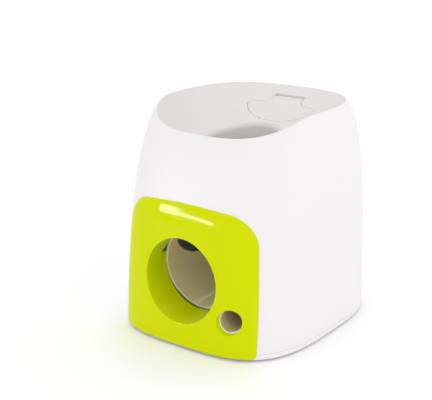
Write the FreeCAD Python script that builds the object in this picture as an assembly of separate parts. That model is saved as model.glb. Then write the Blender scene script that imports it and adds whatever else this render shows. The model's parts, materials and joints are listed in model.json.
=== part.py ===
"""Automatic ball launcher for dogs: a white body with a dish on top that the dog drops a ball into.

The ball falls through the throat, swings the trip paddle and rolls out of the green tube in front.
The paddle's shaft carries a gear sector that turns the treat drum, so a few treats slide out of the
smaller hole beside the ball.

All lengths are in mm. X is to the right of the front face and Y towards the back. Heights are
measured from the bottom edge of the body. The rubber feet reach below it, and the finished pieces
are lifted so that the feet stand on z = 0, under the middle of the body's outline.
"""
import FreeCAD
import Part

import functools
import math
import os

Vector = FreeCAD.Vector
Rotation = FreeCAD.Rotation
Placement = FreeCAD.Placement

# Body: a rounded square in plan that tapers upwards, with a rim that sweeps up to the back
half_width = 98.0
front_depth = 110.0
back_depth = 112.0
side_flare = 0.013
side_taper = 0.105
front_flare = -0.07
front_taper = 0.20
back_flare = -0.012
back_taper = 0.143
base_squareness = 3.30
rim_squareness = 2.74
front_rim = 186.2
back_rim = 212.9
sweep_start = -107.4
sweep_end = -15.2
lip_roll = 4.5
lip_sharpness = 16
wall = 2.6

# Base tray
base_edge = 5.3
edge_seam = 0.25
base_floor = 2.5
base_lip_height = 10.0
base_lip_wall = 2.0
boss_top = 8.0
base_boss_top = 24.0
base_boss_gap = 1.2

# Feet
foot_rise = 2.0
foot_radius = 8.0
foot_x = 66.0
foot_y = 76.0
foot_chamfer = 0.5
peg_radius = 2.4
peg_gap = 0.1
peg_head_radius = 3.4
peg_head = 1.2

# Green bezel on the front
panel_proud = 2.0
panel_bottom = 0.8
panel_top = 135.0
panel_top_bow = 383.0
panel_low_half = 75.4
panel_mid_half = 75.1
panel_top_half = 72.9
panel_low_corner = 4.5
panel_top_corner = 31.5
panel_rebate = 8.0
panel_gap = 0.25
plate_gap = 0.2
stud_radius = 2.4
stud_low = 25.0
stud_high = 98.0
stud_inset = 4.0
stud_boss_wall = 1.3
stud_short = 0.3
stud_screw_grip = 6.0

# Ball way out
exit_radius = 39.6
exit_height = 62.9
exit_slope = 5.7
exit_draft = 1.6
exit_end_gap = 0.3
exit_notch_front = -87.5
exit_notch_low = 75.5
exit_notch_high = 88.5
tube_wall = 2.6

# Ball chute behind the tube
chute_front = -76.5
chute_radius = 39.2
chute_slope = 3.0
chute_wall = 2.5
drop_y = -12.0
collar_top = 108.0
saddle_front = -66.0
saddle_back = -14.0
saddle_y = -20.0
saddle_height = 117.0
saddle_radius = 57.0
notch_bottom = 61.0
notch_front = 8.0
notch_back = 54.0
notch_side = 2.5
chute_leg_front = -60.0
chute_leg_back = -4.0
chute_leg_half = 30.0
chute_leg_wall = 6.0
chute_foot_reach = 14.0
tab_height = 3.0

# Dish and throat
throat_radius = 41.0
throat_roll = 6.0
throat_bottom = 136.0
dish_wall = 2.6
rim_seam = 0.3
rim_sink = 0.4
dish_power = 2.0
lip_height = 176.0
lip_tilt = 0.17
shelf_tilt = 0.30
shelf_start = 29.0
shelf_blend = 10.0

# Shelves inside the housing that carry the dish
shelf_top = 150.0
shelf_height = 4.0
shelf_half = 5.5
gusset_drop = 18.0
gusset_wall = 2.4
front_shelf_x = 48.0
front_shelf_y = -60.0
back_shelf_x = 22.0
back_shelf_y = 79.5
boss_radius = 4.8
boss_gap = 0.1

# Lid of the treat store, let into the back of the dish
lid_back = 75.0
lid_tab_back_half = 17.0
lid_tab_front_half = 21.0
lid_tab_straight = 5.6
lid_shoulder_y = 62.0
lid_shoulder_half = 31.0
lid_shoulder_drop = 2.0
lid_ear_half = 38.4
lid_ear_y = 54.0
lid_ear_round_in = 1.6
lid_ear_round_up = 3.6
lid_belly_half = 29.5
lid_belly_y = 44.5
lid_finger_half = 13.4
lid_finger_side_y = 38.3
lid_finger_tip_half = 12.0
lid_finger_y = 36.0
lid_gap = 0.4
lid_ledge_reach = 2.5
lid_ledge_depth = 1.6
lid_rest_gap = 0.3
lid_barrel_radius = 3.2
lid_barrel_half = 16.4
lid_pin_radius = 1.25
lid_lug_start = 19.8
lid_lug_width = 4.0
lid_lug_margin = 0.4
lid_slot_front = 2.0
lid_slot_back = 0.5
lid_slot_depth = 12.0

# Treat store
hopper_left = -46.0
hopper_right = 76.0
hopper_front = 36.0
hopper_back = 74.0
hopper_wall = 2.5
hopper_body_gap = 2.5
hopper_floor = 150.0
hopper_floor_side_slope = 0.15
hopper_floor_back_slope = 0.30
hopper_floor_room = 12.0
hopper_top_gap = 1.0
ear_height = 170.0
ear_thickness = 3.0
ear_radius = 4.6
ear_side_y = 52.0
ear_side_gap = 0.3
ear_front_left_x = -30.0
ear_front_right_x = 38.0
ear_screw_grip = 5.6
ear_screw_spare = 0.4

# Treat drum: axis along X
trip_y = 34.0
trip_height = 118.0
gear_module = 1.3
pinion_teeth = 14
sector_teeth = 28
drum_drop = 8.0
drum_radius = 20.0
drum_left = 53.0
drum_right = 73.0
drum_side_gap = 0.4
drum_gap = 0.4
pocket_radius = 7.5
pocket_depth = 12.0
casing_wall = 2.6
neck_half = 9.5
neck_wall = 2.0
neck_rise = 1.0
neck_seat_gap = 0.3
outlet_half = 8.5
outlet_bottom = 80.0
wiper_thickness = 1.5
wiper_height = 5.5
wiper_gap = 0.3
casing_ear_distance = 25.6
casing_ear_radius = 4.0
casing_ear_angles = (200.0, 145.0, -45.0)
cover_lug_wall = 2.0

# Treat tube
treat_x = 54.0
treat_height = 35.0
treat_radius = 12.0
treat_bore = 10.4
treat_wall = 2.5
treat_lip = 6.0
treat_socket_depth = 8.0
treat_socket_wall = 2.2
treat_fit = 0.1
treat_end_height = 71.0
treat_head_half = 12.0
treat_head_wall = 2.0
treat_head_low = 58.0
treat_head_top = 85.0

# Shafts, bushes and clips
shaft_radius = 3.0
axle_radius = 2.5
bush_wall = 1.6
bush_flange = 1.4
bush_flange_wall = 1.0
running_gap = 0.05
fixed_gap = 0.02
clip_thickness = 1.0
clip_wall = 2.2
clip_groove = 0.5
clip_opening = 0.7
shaft_overhang = 3.5

# Brackets
bracket_inner = 46.5
bracket_thickness = 3.5
bracket_foot_reach = 14.0
bracket_foot_front = 18.0
bracket_foot_back = 50.0
bracket_screw_inset = 6.0
bracket_top = 128.0
bracket_top_front = 10.0
bracket_top_back = 14.0
bracket_peak = 8.0
bracket_haunch = 16.0
bracket_shoulder_front = -24.0
bracket_shoulder_low = 94.0
bracket_shoulder_drop = 2.0

# Paddle
blade_reach = 54.0
blade_half = 15.0
blade_thickness = 3.0
blade_tilt = 5.0
blade_rib = 4.0
blade_rib_wall = 2.0
blade_rib_root = 5.0
hub_radius = 6.0
hub_half = 28.0
trip_swing = 76.0
fin_reach = 18.0
fin_width = 6.0
fin_thickness = 3.0
fin_hook = 7.0
fin_hook_start = 10.0
stop_radius = 2.5
stop_reach = 13.0
stop_gap = 0.3

# Return spring
spring_radius = 5.6
spring_wire = 0.6
spring_turns = 6.5
spring_pitch = 1.6
spring_side_gap = 2.0
spring_leg = 16.0
spring_leg_gap = 0.2
spring_steps = 12

# Gears
gear_left = 77.5
gear_width = 5.0
gear_hub_radius = 6.0
gear_hub = 2.0
pressure_angle = 20.0
addendum = 0.85
dedendum = 1.2
backlash = 0.14
sector_spare_teeth = 1.6

# Screws
screw_radius = 1.5
screw_head_radius = 3.0
screw_head = 1.8
screw_clearance = 0.25
screw_grip = 8.0
foot_screw_grip = 4.5

# How finely the curved body is drawn
ring_points = 56
body_shares = (0.0, 0.1, 0.22, 0.36, 0.5, 0.62, 0.71, 0.78, 0.82, 0.855, 0.885, 0.915, 0.945, 0.975, 1.0, 1.03)
dish_shares = (1.0, 0.93, 0.84, 0.72, 0.58, 0.42, 0.26, 0.12, 0.0)
dish_overhang = 0.03
roll_angles = (22.5, 45.0, 67.5, 90.0)
reach_steps = 14
sewing_reach = 0.02

# How far cutting shapes reach past what they cut
past = 1.0
front_cut_start = 10.0
front_cut_length = 60.0

# Worked out from the sizes above
front_face = -(front_depth + panel_proud)
drum_y = trip_y - math.sqrt((gear_module * (pinion_teeth + sector_teeth) / 2) ** 2 - drum_drop ** 2)
drum_height = trip_height - drum_drop
drum_middle = (drum_left + drum_right) / 2
casing_left = bracket_inner + bracket_thickness
cover_left = drum_right + drum_side_gap
neck_top = drum_height + drum_radius + drum_gap + casing_wall + neck_rise
cover_right = cover_left + casing_wall
collar_radius = treat_bore + treat_wall + treat_fit + treat_socket_wall
far = 300.0


# ---------------------------------------------------------------- plain solids

def block(low, high):
    """Box between two corners."""
    return Part.makeBox(high[0] - low[0], high[1] - low[1], high[2] - low[2], Vector(*low))


def rod(start, end, radius):
    """Round bar between two points."""
    start, end = Vector(*start), Vector(*end)
    return Part.makeCylinder(radius, (end - start).Length, start, end - start)


def rod_x(left, right, y, height, radius):
    return rod((left, y, height), (right, y, height), radius)


def rod_y(front, back, x, height, radius):
    return rod((x, front, height), (x, back, height), radius)


def rod_z(low, high, x, y, radius):
    return rod((x, y, low), (x, y, high), radius)


def ring_x(left, right, y, height, inner, outer):
    return rod_x(left, right, y, height, outer).cut(rod_x(left - 1, right + 1, y, height, inner))


def side_prism(left, right, outline):
    """Flat plate across X with its outline given as (y, height) points."""
    points = [Vector(left, y, height) for y, height in outline]
    return Part.Face(Part.makePolygon(points + points[:1])).extrude(Vector(right - left, 0, 0))


def above_plane(point, slope_x, slope_y):
    """Large block whose lower face is a plane with the given slopes."""
    normal = Vector(-slope_x, -slope_y, 1)
    slab = Part.makeBox(2 * far, 2 * far, far, Vector(-far, -far, 0))
    slab.Placement = Placement(Vector(*point), Rotation(Vector(0, 0, 1), normal))
    return slab


def turned_about_x(shape, y, height, degrees):
    turned = shape.copy()
    turned.rotate(Vector(0, y, height), Vector(1, 0, 0), degrees)
    return turned


def moved(shape, x, y, z):
    copy = shape.copy()
    copy.translate(Vector(x, y, z))
    return copy


def fused(first, *others):
    return first.multiFuse(list(others)) if others else first


def join(shapes):
    """One solid out of pieces that overlap."""
    return fused(shapes[0], *shapes[1:])


def sewn(faces):
    """Solid out of faces that share their edges."""
    skin = Part.Compound(faces)
    skin.sewShape(sewing_reach)
    solid = Part.Solid(skin.Shells[0])
    if solid.Volume < 0:
        solid.reverse()
    return solid


def screw(seat, direction, grip):
    """Pan-head screw: its head stands on the seat and its shank runs along the direction."""
    seat, direction = Vector(*seat), Vector(*direction)
    direction.normalize()
    head = Part.makeCylinder(screw_head_radius, screw_head, seat - direction * screw_head, direction)
    shank = Part.makeCylinder(screw_radius, grip, seat, direction)
    slot = Part.makeCylinder(screw_head_radius / 2, screw_head / 2, seat - direction * screw_head, direction)
    return head.fuse(shank).cut(slot)


def pilot(seat, direction, grip):
    """Hole that a screw cuts its thread in."""
    return rod(seat, tuple(Vector(*seat) + Vector(*direction) * (grip + 1)), screw_radius)


def passage(start, end):
    """Hole that a screw passes through."""
    return rod(start, end, screw_radius + screw_clearance)


# ---------------------------------------------------------------- the body's skin

def rim_height(y):
    """Height of the rim: level in front, level at the back, with a smooth sweep between."""
    share = min(max((y - sweep_start) / (sweep_end - sweep_start), 0.0), 1.0)
    return front_rim + (back_rim - front_rim) * share ** 2 * (3 - 2 * share)


def wall_sizes(share, in_front):
    """Half width and depth of the body at a share of its height, with its rolled lip."""
    roll = lip_roll * (share ** lip_sharpness if share <= 1 else 1 + lip_sharpness * (share - 1))
    width = half_width * (1 + side_flare * share - side_taper * share ** 4)
    if in_front:
        depth = front_depth * (1 + front_flare * share - front_taper * share ** 4)
    else:
        depth = back_depth * (1 + back_flare * share - back_taper * share ** 4)
    return width - roll, depth - roll


def reach_at(angle, share, inset):
    """Distance from the middle to the wall in one direction."""
    width, depth = wall_sizes(share, math.sin(angle) < 0)
    power = base_squareness + (rim_squareness - base_squareness) * share
    across = abs(math.cos(angle)) / (width - inset)
    along = abs(math.sin(angle)) / (depth - inset)
    return (across ** power + along ** power) ** (-1 / power)


def wall_reach(angle, height, inset):
    """Distance to the wall at a height: the share of the height depends on where the wall is."""
    reach = half_width
    for _ in range(reach_steps):
        reach = reach_at(angle, height / rim_height(reach * math.sin(angle)), inset)
    return reach


def ring_angles():
    """Directions round the middle, from the back."""
    return [math.pi / 2 + 2 * math.pi * step / ring_points for step in range(ring_points)]


def closed_curve(points):
    curve = Part.BSplineCurve()
    curve.interpolate(Points=points, PeriodicFlag=True)
    return Part.Wire(curve.toShape())


def body_ring(height, inset):
    points = []
    for angle in ring_angles():
        reach = wall_reach(angle, height, inset)
        points.append(Vector(reach * math.cos(angle), reach * math.sin(angle), height))
    return closed_curve(points)


@functools.cache
def body_solid(inset):
    """The whole body, filled, with its skin moved inwards, up to just above the rim."""
    return Part.makeLoft([body_ring(share * back_rim, inset) for share in body_shares], True)


@functools.cache
def body_slice(inset, low, high, rings=4):
    """The filled body between two heights."""
    heights = [low + (high - low) * step / (rings - 1) for step in range(rings)]
    return Part.makeLoft([body_ring(height, inset) for height in heights], True)


def above_rim():
    """Everything above the swept rim."""
    third = (sweep_end - sweep_start) / 3
    sweep = Part.BezierCurve()
    sweep.setPoles([Vector(-far, sweep_start, front_rim), Vector(-far, sweep_start + third, front_rim),
                    Vector(-far, sweep_end - third, back_rim), Vector(-far, sweep_end, back_rim)])
    corners = [Vector(-far, sweep_end, back_rim), Vector(-far, far, back_rim), Vector(-far, far, far),
               Vector(-far, -far, far), Vector(-far, -far, front_rim), Vector(-far, sweep_start, front_rim)]
    outline = Part.Wire([sweep.toShape()] + Part.makePolygon(corners).Edges)
    return Part.Face(outline).extrude(Vector(2 * far, 0, 0))


def front_wall(x, height, inset):
    """Where the front wall stands at a place across the body."""
    y = -front_depth
    for _ in range(reach_steps):
        share = height / rim_height(y)
        width, depth = wall_sizes(share, True)
        power = base_squareness + (rim_squareness - base_squareness) * share
        y = -(depth - inset) * (1 - (abs(x) / (width - inset)) ** power) ** (1 / power)
    return y


# ---------------------------------------------------------------- green panel outline

def panel_corner():
    """Centre of the panel's upper corner, and how far from upright its top edge starts."""
    across = panel_top_half - panel_top_corner
    reach = panel_top_bow - panel_top_corner
    return across, panel_top - panel_top_bow + math.sqrt(reach ** 2 - across ** 2), math.asin(across / reach)


def panel_wire():
    """Outline of the green panel, seen from the front."""
    low_shoulder = panel_bottom + panel_low_corner
    corner_x, high_shoulder, lean = panel_corner()
    bend = math.sqrt(0.5)

    def point(x, height):
        return Vector(x, 0, height)

    def corner_point(sign, direction):
        return point(sign * (corner_x + panel_top_corner * math.sin(direction)),
                     high_shoulder + panel_top_corner * math.cos(direction))

    def side(sign):
        low_middle = point(sign * (panel_low_half - panel_low_corner * (1 - bend)),
                           low_shoulder - panel_low_corner * bend)
        top_middle = corner_point(sign, (lean + math.pi / 2) / 2)
        low_start = point(sign * (panel_low_half - panel_low_corner), panel_bottom)
        low_end = point(sign * panel_low_half, low_shoulder)
        middle = point(sign * panel_mid_half, (low_shoulder + high_shoulder) / 2)
        top_start = point(sign * panel_top_half, high_shoulder)
        top_end = corner_point(sign, lean)
        return [Part.Arc(low_start, low_middle, low_end).toShape(),
                Part.Arc(low_end, middle, top_start).toShape(),
                Part.Arc(top_start, top_middle, top_end).toShape()]

    right, left = side(1), side(-1)
    bottom = Part.makeLine(left[0].Vertexes[0].Point, right[0].Vertexes[0].Point)
    top = Part.Arc(corner_point(1, lean), point(0, panel_top), corner_point(-1, lean)).toShape()
    return Part.Wire(Part.__sortEdges__([bottom] + right + [top] + left))


def panel_prism(inset):
    """The panel's outline, moved inwards, run through the front of the body."""
    outline = panel_wire()
    if inset:
        outline = outline.makeOffset2D(-inset)
    face = Part.Face(outline)
    face.translate(Vector(0, front_face - front_cut_start, 0))
    return face.extrude(Vector(0, front_cut_length, 0))


def stud_places():
    """Centres of the studs that hold the panel."""
    span = panel_corner()[1] - panel_bottom - panel_low_corner
    places = []
    for height in (stud_low, stud_high):
        share = (height - panel_bottom - panel_low_corner) / span
        half = panel_low_half + (panel_top_half - panel_low_half) * share ** 2 - stud_inset
        places += [(half, height), (-half, height)]
    return places


# ---------------------------------------------------------------- ways of the ball and the treats

def exit_middle(y):
    """Height of the green tube's middle line."""
    return exit_height + (y - front_face) * math.tan(math.radians(exit_slope))


def exit_bar(front, back, extra):
    """Bar along the green tube: upright round sections that widen inwards by the mould's draft."""
    rings = []
    for y in (front, back):
        radius = exit_radius + extra + (y - front_face) * math.tan(math.radians(exit_draft))
        rings.append(Part.Wire(Part.makeCircle(radius, Vector(0, y, exit_middle(y)), Vector(0, 1, 0))))
    return Part.makeLoft(rings, True, True)


def exit_notches():
    """Cut in both sides of the green tube's inner end."""
    end = chute_front
    outline = [(exit_notch_front, exit_notch_low), (end, exit_notch_low), (end, exit_notch_high)]
    return side_prism(-far, far, outline)


def chute_height(y):
    """Height of the chute's middle line: it starts at the end of the green tube's."""
    return exit_middle(chute_front) + (y - chute_front) * math.tan(math.radians(chute_slope))


def treat_start():
    return Vector(treat_x, front_wall(treat_x, treat_height, -panel_proud), treat_height)


def treat_end():
    return Vector(drum_middle, drum_y, treat_end_height)


def treat_rod(start, end, radius):
    """Bar along the treat tube's middle line, between two distances from its mouth."""
    direction = (treat_end() - treat_start()).normalize()
    return rod(tuple(treat_start() + direction * start), tuple(treat_start() + direction * end), radius)


def treat_length():
    return (treat_end() - treat_start()).Length


# ---------------------------------------------------------------- dish

def floor_height(y):
    """Height of the dish's floor: it falls to the throat and steepens behind it."""
    behind = y - shelf_start
    return lip_height + lip_tilt * (y - drop_y) + shelf_tilt * (behind + math.hypot(behind, shelf_blend)) / 2


def dish_point(angle, share, depth):
    """Point of the dish, a depth below its surface: share 1 is the rim and 0 the throat's roll."""
    rim_reach = reach_at(angle, 1.0, wall + rim_seam)
    rim_x, rim_y = rim_reach * math.cos(angle), rim_reach * math.sin(angle)
    lip_x = (throat_radius + throat_roll) * math.cos(angle)
    lip_y = drop_y + (throat_radius + throat_roll) * math.sin(angle)
    x = lip_x + (rim_x - lip_x) * share
    y = lip_y + (rim_y - lip_y) * share
    rise = (rim_height(rim_y) - rim_sink - floor_height(rim_y)) * share ** dish_power
    return Vector(x, y, floor_height(y) + rise - depth)


def roll_point(angle, turn, depth):
    """Point of the rounded edge between the dish and the throat."""
    radius = throat_radius + throat_roll - (throat_roll - depth) * math.sin(turn)
    top = dish_point(angle, 0.0, 0.0).z
    height = top - throat_roll + (throat_roll - depth) * math.cos(turn)
    return Vector(radius * math.cos(angle), drop_y + radius * math.sin(angle), height)


def throat_point(angle, share, depth):
    """Point of the throat: share 1 is its lower end."""
    start = roll_point(angle, math.pi / 2, depth)
    return Vector(start.x, start.y, start.z + (throat_bottom - start.z) * share)


def dish_skin(depth, overhang):
    """Faces down the dish, round its roll and down the throat, with their first and last curves."""
    dish = [closed_curve([dish_point(angle, share, depth) for angle in ring_angles()])
            for share in (dish_shares[0] + overhang,) + dish_shares[1:]]
    roll = dish[-1:] + [closed_curve([roll_point(angle, math.radians(turn), depth) for angle in ring_angles()])
                        for turn in roll_angles]
    throat = roll[-1:] + [closed_curve([throat_point(angle, 1.0, depth) for angle in ring_angles()])]
    faces = Part.makeLoft(dish, False).Faces + Part.makeLoft(roll, False).Faces
    return faces + Part.makeLoft(throat, False, True).Faces, dish[0], throat[-1]


@functools.cache
def dish_air(depth, overhang=0.0):
    """The space over the dish, which starts a depth below its surface, and down its throat."""
    skin, rim, throat_end = dish_skin(depth, overhang)
    top = [dish_point(angle, dish_shares[0] + overhang, depth) for angle in ring_angles()]
    sky = closed_curve([Vector(point.x, point.y, back_rim + 2 * dish_wall) for point in top])
    strip = Part.makeLoft([rim, sky], False, True)
    return sewn(skin + strip.Faces + [Part.Face(sky), Part.Face(throat_end)])


@functools.cache
def dish_slab():
    """The dish with its throat, with no openings or bosses yet."""
    over = dish_air(0.0, dish_overhang)
    over_throat = Part.Face(closed_curve([throat_point(angle, 1.0, 0.0) for angle in ring_angles()]))
    return dish_air(dish_wall).cut(over).cut(over_throat.extrude(Vector(0, 0, -1)))


def hinge_place():
    """The lid hinge's axis: y, height and the dish's slope there in degrees."""
    slope = lip_tilt + shelf_tilt
    y = lid_back - lid_barrel_radius
    rim_y = reach_at(math.pi / 2, 1.0, wall + rim_seam)
    lip_y = drop_y + throat_radius + throat_roll
    surface = dish_point(math.pi / 2, (y - lip_y) / (rim_y - lip_y), 0.0).z
    return y, surface - lid_barrel_radius * math.hypot(1, slope), math.degrees(math.atan(slope))


def lid_wire():
    """Outline of the lid from above. Its back edge is the hinge barrel's axis."""
    def half(sign):
        def point(x, y):
            return Vector(sign * x, y, 0)
        hinge_y = hinge_place()[0]
        corners = [point(lid_tab_back_half, hinge_y), point(lid_tab_back_half, hinge_y - lid_tab_straight),
                   point(lid_tab_front_half, lid_shoulder_y),
                   point(lid_shoulder_half, lid_shoulder_y - lid_shoulder_drop)]
        ear_top = point(lid_ear_half - lid_ear_round_in, lid_ear_y + lid_ear_round_up)
        ear_side = point(lid_ear_half, lid_ear_y)
        belly = point(lid_belly_half, lid_belly_y)
        finger_side = point(lid_finger_half, lid_finger_side_y)
        finger_tip = point(lid_finger_tip_half, lid_finger_y)
        edges = Part.makePolygon(corners).Edges
        edges += [Part.Arc(corners[-1], ear_top, ear_side).toShape(),
                 Part.Arc(ear_side, belly, finger_side).toShape(),
                 Part.makeLine(finger_side, finger_tip)]
        return edges, corners[0], finger_tip

    right, right_back, right_tip = half(1)
    left, left_back, left_tip = half(-1)
    ends = [Part.makeLine(right_back, left_back), Part.makeLine(right_tip, left_tip)]
    return Part.Wire(Part.__sortEdges__(right + left + ends))


def lid_prism(outset):
    """The lid's outline, moved outwards, run upright through the dish."""
    outline = lid_wire()
    if outset:
        outline = outline.makeOffset2D(outset)
    return Part.Face(outline).extrude(Vector(0, 0, far))


# ---------------------------------------------------------------- fixings shared by two pieces

def base_boss_places():
    """Where the housing's bosses meet the base plate's screws."""
    places = []
    for degrees in (-12.0, 192.0, 66.0, 114.0):
        angle = math.radians(degrees)
        reach = wall_reach(angle, 0.0, wall) - boss_radius - edge_seam - base_lip_wall - base_boss_gap
        places.append((reach * math.cos(angle), reach * math.sin(angle)))
    return places


def shelf_places():
    return [(front_shelf_x, front_shelf_y), (-front_shelf_x, front_shelf_y),
            (back_shelf_x, back_shelf_y), (-back_shelf_x, back_shelf_y)]


def chute_foot_places():
    x = chute_leg_half + chute_foot_reach / 2
    return [(side * x, y) for y in (chute_leg_front, chute_leg_back) for side in (1, -1)]


def bracket_foot_places():
    x = bracket_inner + bracket_thickness + bracket_foot_reach / 2
    rows = (bracket_foot_front + bracket_screw_inset, bracket_foot_back - bracket_screw_inset)
    return [(side * x, y) for y in rows for side in (1, -1)]


def hopper_ear_places():
    stand = boss_radius + ear_side_gap
    front = hopper_front - stand
    return [(hopper_left - stand, ear_side_y), (ear_front_left_x, front), (ear_front_right_x, front)]


def casing_ear_places():
    places = []
    for degrees in casing_ear_angles:
        angle = math.radians(degrees)
        places.append((drum_y + casing_ear_distance * math.cos(angle),
                       drum_height + casing_ear_distance * math.sin(angle)))
    return places


def foot_places():
    return [(x, y) for x in (-foot_x, foot_x) for y in (-foot_y, foot_y)]


# ---------------------------------------------------------------- shell pieces

def housing_shelf(x, y):
    """Shelf from the wall to one of the dish's bosses, with a gusset under it."""
    wall_y = math.copysign(front_depth, y)
    edge = y - math.copysign(shelf_half, y)
    low, high = min(edge, wall_y), max(edge, wall_y)
    plate = block((x - shelf_half, low, shelf_top - shelf_height), (x + shelf_half, high, shelf_top))
    outline = [(edge, shelf_top - shelf_height / 2), (wall_y, shelf_top - shelf_height / 2),
               (wall_y, shelf_top - shelf_height - gusset_drop)]
    gussets = [side_prism(side, side + gusset_wall, outline)
               for side in (x - shelf_half, x + shelf_half - gusset_wall)]
    return join([plate] + gussets)


def stud_seat(x, height):
    """Inner end of a stud's boss: just past the wall where it reaches furthest in beside the boss."""
    return front_wall(abs(x) + stud_radius + panel_gap + stud_boss_wall, height, wall)


def base_boss(x, y):
    """Screw boss that stands clear of the base tray's wall, with a rib to the housing's wall."""
    boss = rod_z(base_floor + boss_gap, base_boss_top, x, y, boss_radius)
    rib = block((0, -gusset_wall / 2, base_lip_height + edge_seam),
                (boss_radius + 2 * wall, gusset_wall / 2, base_boss_top))
    rib.Placement = Placement(Vector(x, y, 0), Rotation(Vector(0, 0, 1), math.degrees(math.atan2(y, x))))
    return fused(boss, rib)


def make_housing():
    shell = body_solid(0.0).cut(body_solid(wall)).cut(above_rim())
    shell = shell.cut(block((-far, -far, -1), (far, far, base_edge + edge_seam)))
    shell = shell.cut(panel_prism(panel_rebate))
    core = body_slice(wall / 2, 0.0, shelf_top + 1, 8)
    fittings = [housing_shelf(x, y) for x, y in shelf_places()]
    fittings += [base_boss(x, y) for x, y in base_boss_places()]
    holes = [passage((x, y, 0), (x, y, shelf_top + 1)) for x, y in shelf_places()]
    holes += [pilot((x, y, 0), (0, 0, 1), base_floor + screw_grip) for x, y in base_boss_places()]
    collar_end = treat_lip + treat_socket_depth + front_cut_start
    holes.append(treat_rod(-treat_length(), collar_end, collar_radius + panel_gap))
    for x, height in stud_places():
        room, seat = stud_radius + panel_gap, stud_seat(x, height)
        fittings.append(rod_y(-front_depth, seat, x, height, room + stud_boss_wall))
        holes.append(rod_y(-front_depth, seat + past, x, height, room))
    inside = Part.Compound(fittings).common(core).Solids
    return join([shell] + inside).cut(holes)


def make_base_plate():
    tray = body_slice(0.0, 0.0, base_edge).cut(body_slice(wall, base_floor, base_edge + 1))
    lip_outer = body_slice(wall + edge_seam, base_floor - 1, base_lip_height)
    lip_inner = body_slice(wall + edge_seam + base_lip_wall, base_floor - 1.5, base_lip_height + 1)
    lip = lip_outer.cut(lip_inner)
    tray = fused(tray, lip)
    supports = [rod_z(base_floor / 2, boss_top, x, y, boss_radius)
                for x, y in chute_foot_places() + bracket_foot_places()]
    tray = join([tray] + supports)
    holes = [passage((x, y, -1), (x, y, base_floor + 1)) for x, y in base_boss_places()]
    holes += [rod_z(-1, base_floor + 1, x, y, peg_radius + panel_gap) for x, y in foot_places()]
    holes += [pilot((x, y, boss_top), (0, 0, -1), boss_top - base_floor) for x, y
              in chute_foot_places() + bracket_foot_places()]
    return tray.cut(holes)


def make_rubber_feet():
    feet = []
    for x, y in foot_places():
        pad = rod_z(-foot_rise, 0.0, x, y, foot_radius)
        pad = pad.makeChamfer(foot_chamfer, [edge for edge in pad.Edges
                                             if edge.BoundBox.ZMax < -foot_rise + sewing_reach])
        head_low = base_floor + peg_gap
        peg = rod_z(-foot_rise / 2, head_low, x, y, peg_radius)
        head = rod_z(head_low, head_low + peg_head, x, y, peg_head_radius)
        feet.append(fused(pad, peg, head))
    return Part.Compound(feet)


def make_front_bezel():
    low, high, rings = -2 * past, panel_top + 4 * past, 8
    skin = body_slice(-panel_proud, low, high, rings)
    middle = body_slice(-panel_proud / 2, low, high, rings)
    plate = skin.cut(body_slice(-plate_gap, low - 1, high + 1, rings)).common(panel_prism(0.0))
    plug = middle.cut(body_slice(wall, low - 1, high + 1, rings)).common(panel_prism(panel_rebate + panel_gap))
    tube = exit_bar(front_face, chute_front - exit_end_gap, tube_wall).common(middle).cut(exit_notches())
    collar = treat_rod(-front_cut_start, treat_lip + treat_socket_depth, collar_radius).common(middle)
    bezel = fused(plate, plug, tube, collar)
    for x, height in stud_places():
        start = front_wall(x, height, -panel_proud / 2)
        end = stud_seat(x, height) - stud_short
        bezel = fused(bezel, rod_y(start, end, x, height, stud_radius).common(middle))
        bezel = bezel.cut(pilot((x, end, height), (0, -1, 0), stud_screw_grip))
    for hole in (exit_bar(front_face - past, chute_front, 0.0),
                 treat_rod(-front_cut_start, treat_lip + sewing_reach, treat_radius),
                 treat_rod(treat_lip, treat_lip + 2 * front_cut_start, treat_bore + treat_wall + treat_fit)):
        bezel = bezel.cut(hole)
    return bezel


def lid_ledge():
    """Ledge under the lid's edge, in front of its hinge. Its top follows the dish."""
    slope = lip_tilt + shelf_tilt
    depth = dish_wall + lid_rest_gap
    seat = floor_height(lid_shoulder_y) - depth - lid_ledge_depth
    body = above_plane((0, lid_shoulder_y, seat), 0.0, slope)
    body = body.common(block((-far, -far, 0), (far, lid_shoulder_y - lid_shoulder_drop - 1, back_rim)))
    ring = lid_prism(lid_ledge_reach + 1).common(body)
    rest = ring.cut(lid_prism(-lid_ledge_reach)).cut(dish_air(depth))
    return rest.fuse(ring.cut(lid_prism(lid_gap)).cut(dish_air(dish_wall / 3)))


def lid_lugs():
    """Lugs that hold the ends of the hinge pin."""
    y, height, slope = hinge_place()
    size = lid_barrel_radius + lid_lug_margin
    lugs = []
    for start in (lid_lug_start, -lid_lug_start - lid_lug_width):
        lug = block((start, y - size, height - size), (start + lid_lug_width, y + size, height + 2 * size))
        lugs.append(turned_about_x(lug, y, height, slope))
    return lugs


def make_funnel_bowl():
    y, height, _ = hinge_place()
    slot_half = lid_tab_back_half + lid_gap
    plate = dish_slab().cut(lid_prism(lid_gap))
    plate = plate.cut(block((-slot_half, y - lid_slot_front, height - lid_slot_depth),
                            (slot_half, lid_back + lid_slot_back, back_rim)))
    fittings = lid_lugs()
    fittings += [rod_z(shelf_top + boss_gap, back_rim, x, y, boss_radius) for x, y in shelf_places()]
    fittings += [rod_z(ear_height + ear_thickness + boss_gap, back_rim, x, y, boss_radius)
                 for x, y in hopper_ear_places()]
    air = dish_air(dish_wall / 3)
    bowl = join([plate, lid_ledge()] + [fitting.cut(air) for fitting in fittings])
    holes = [rod_x(-slot_half, slot_half, y, height, lid_barrel_radius + lid_gap),
             rod_x(-far, far, y, height, lid_pin_radius + fixed_gap)]
    holes += [pilot((x, y, shelf_top), (0, 0, 1), screw_grip) for x, y in shelf_places()]
    holes += [pilot((x, y, ear_height + ear_thickness), (0, 0, 1), ear_screw_grip + ear_screw_spare)
              for x, y in hopper_ear_places()]
    return bowl.cut(holes)


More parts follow.
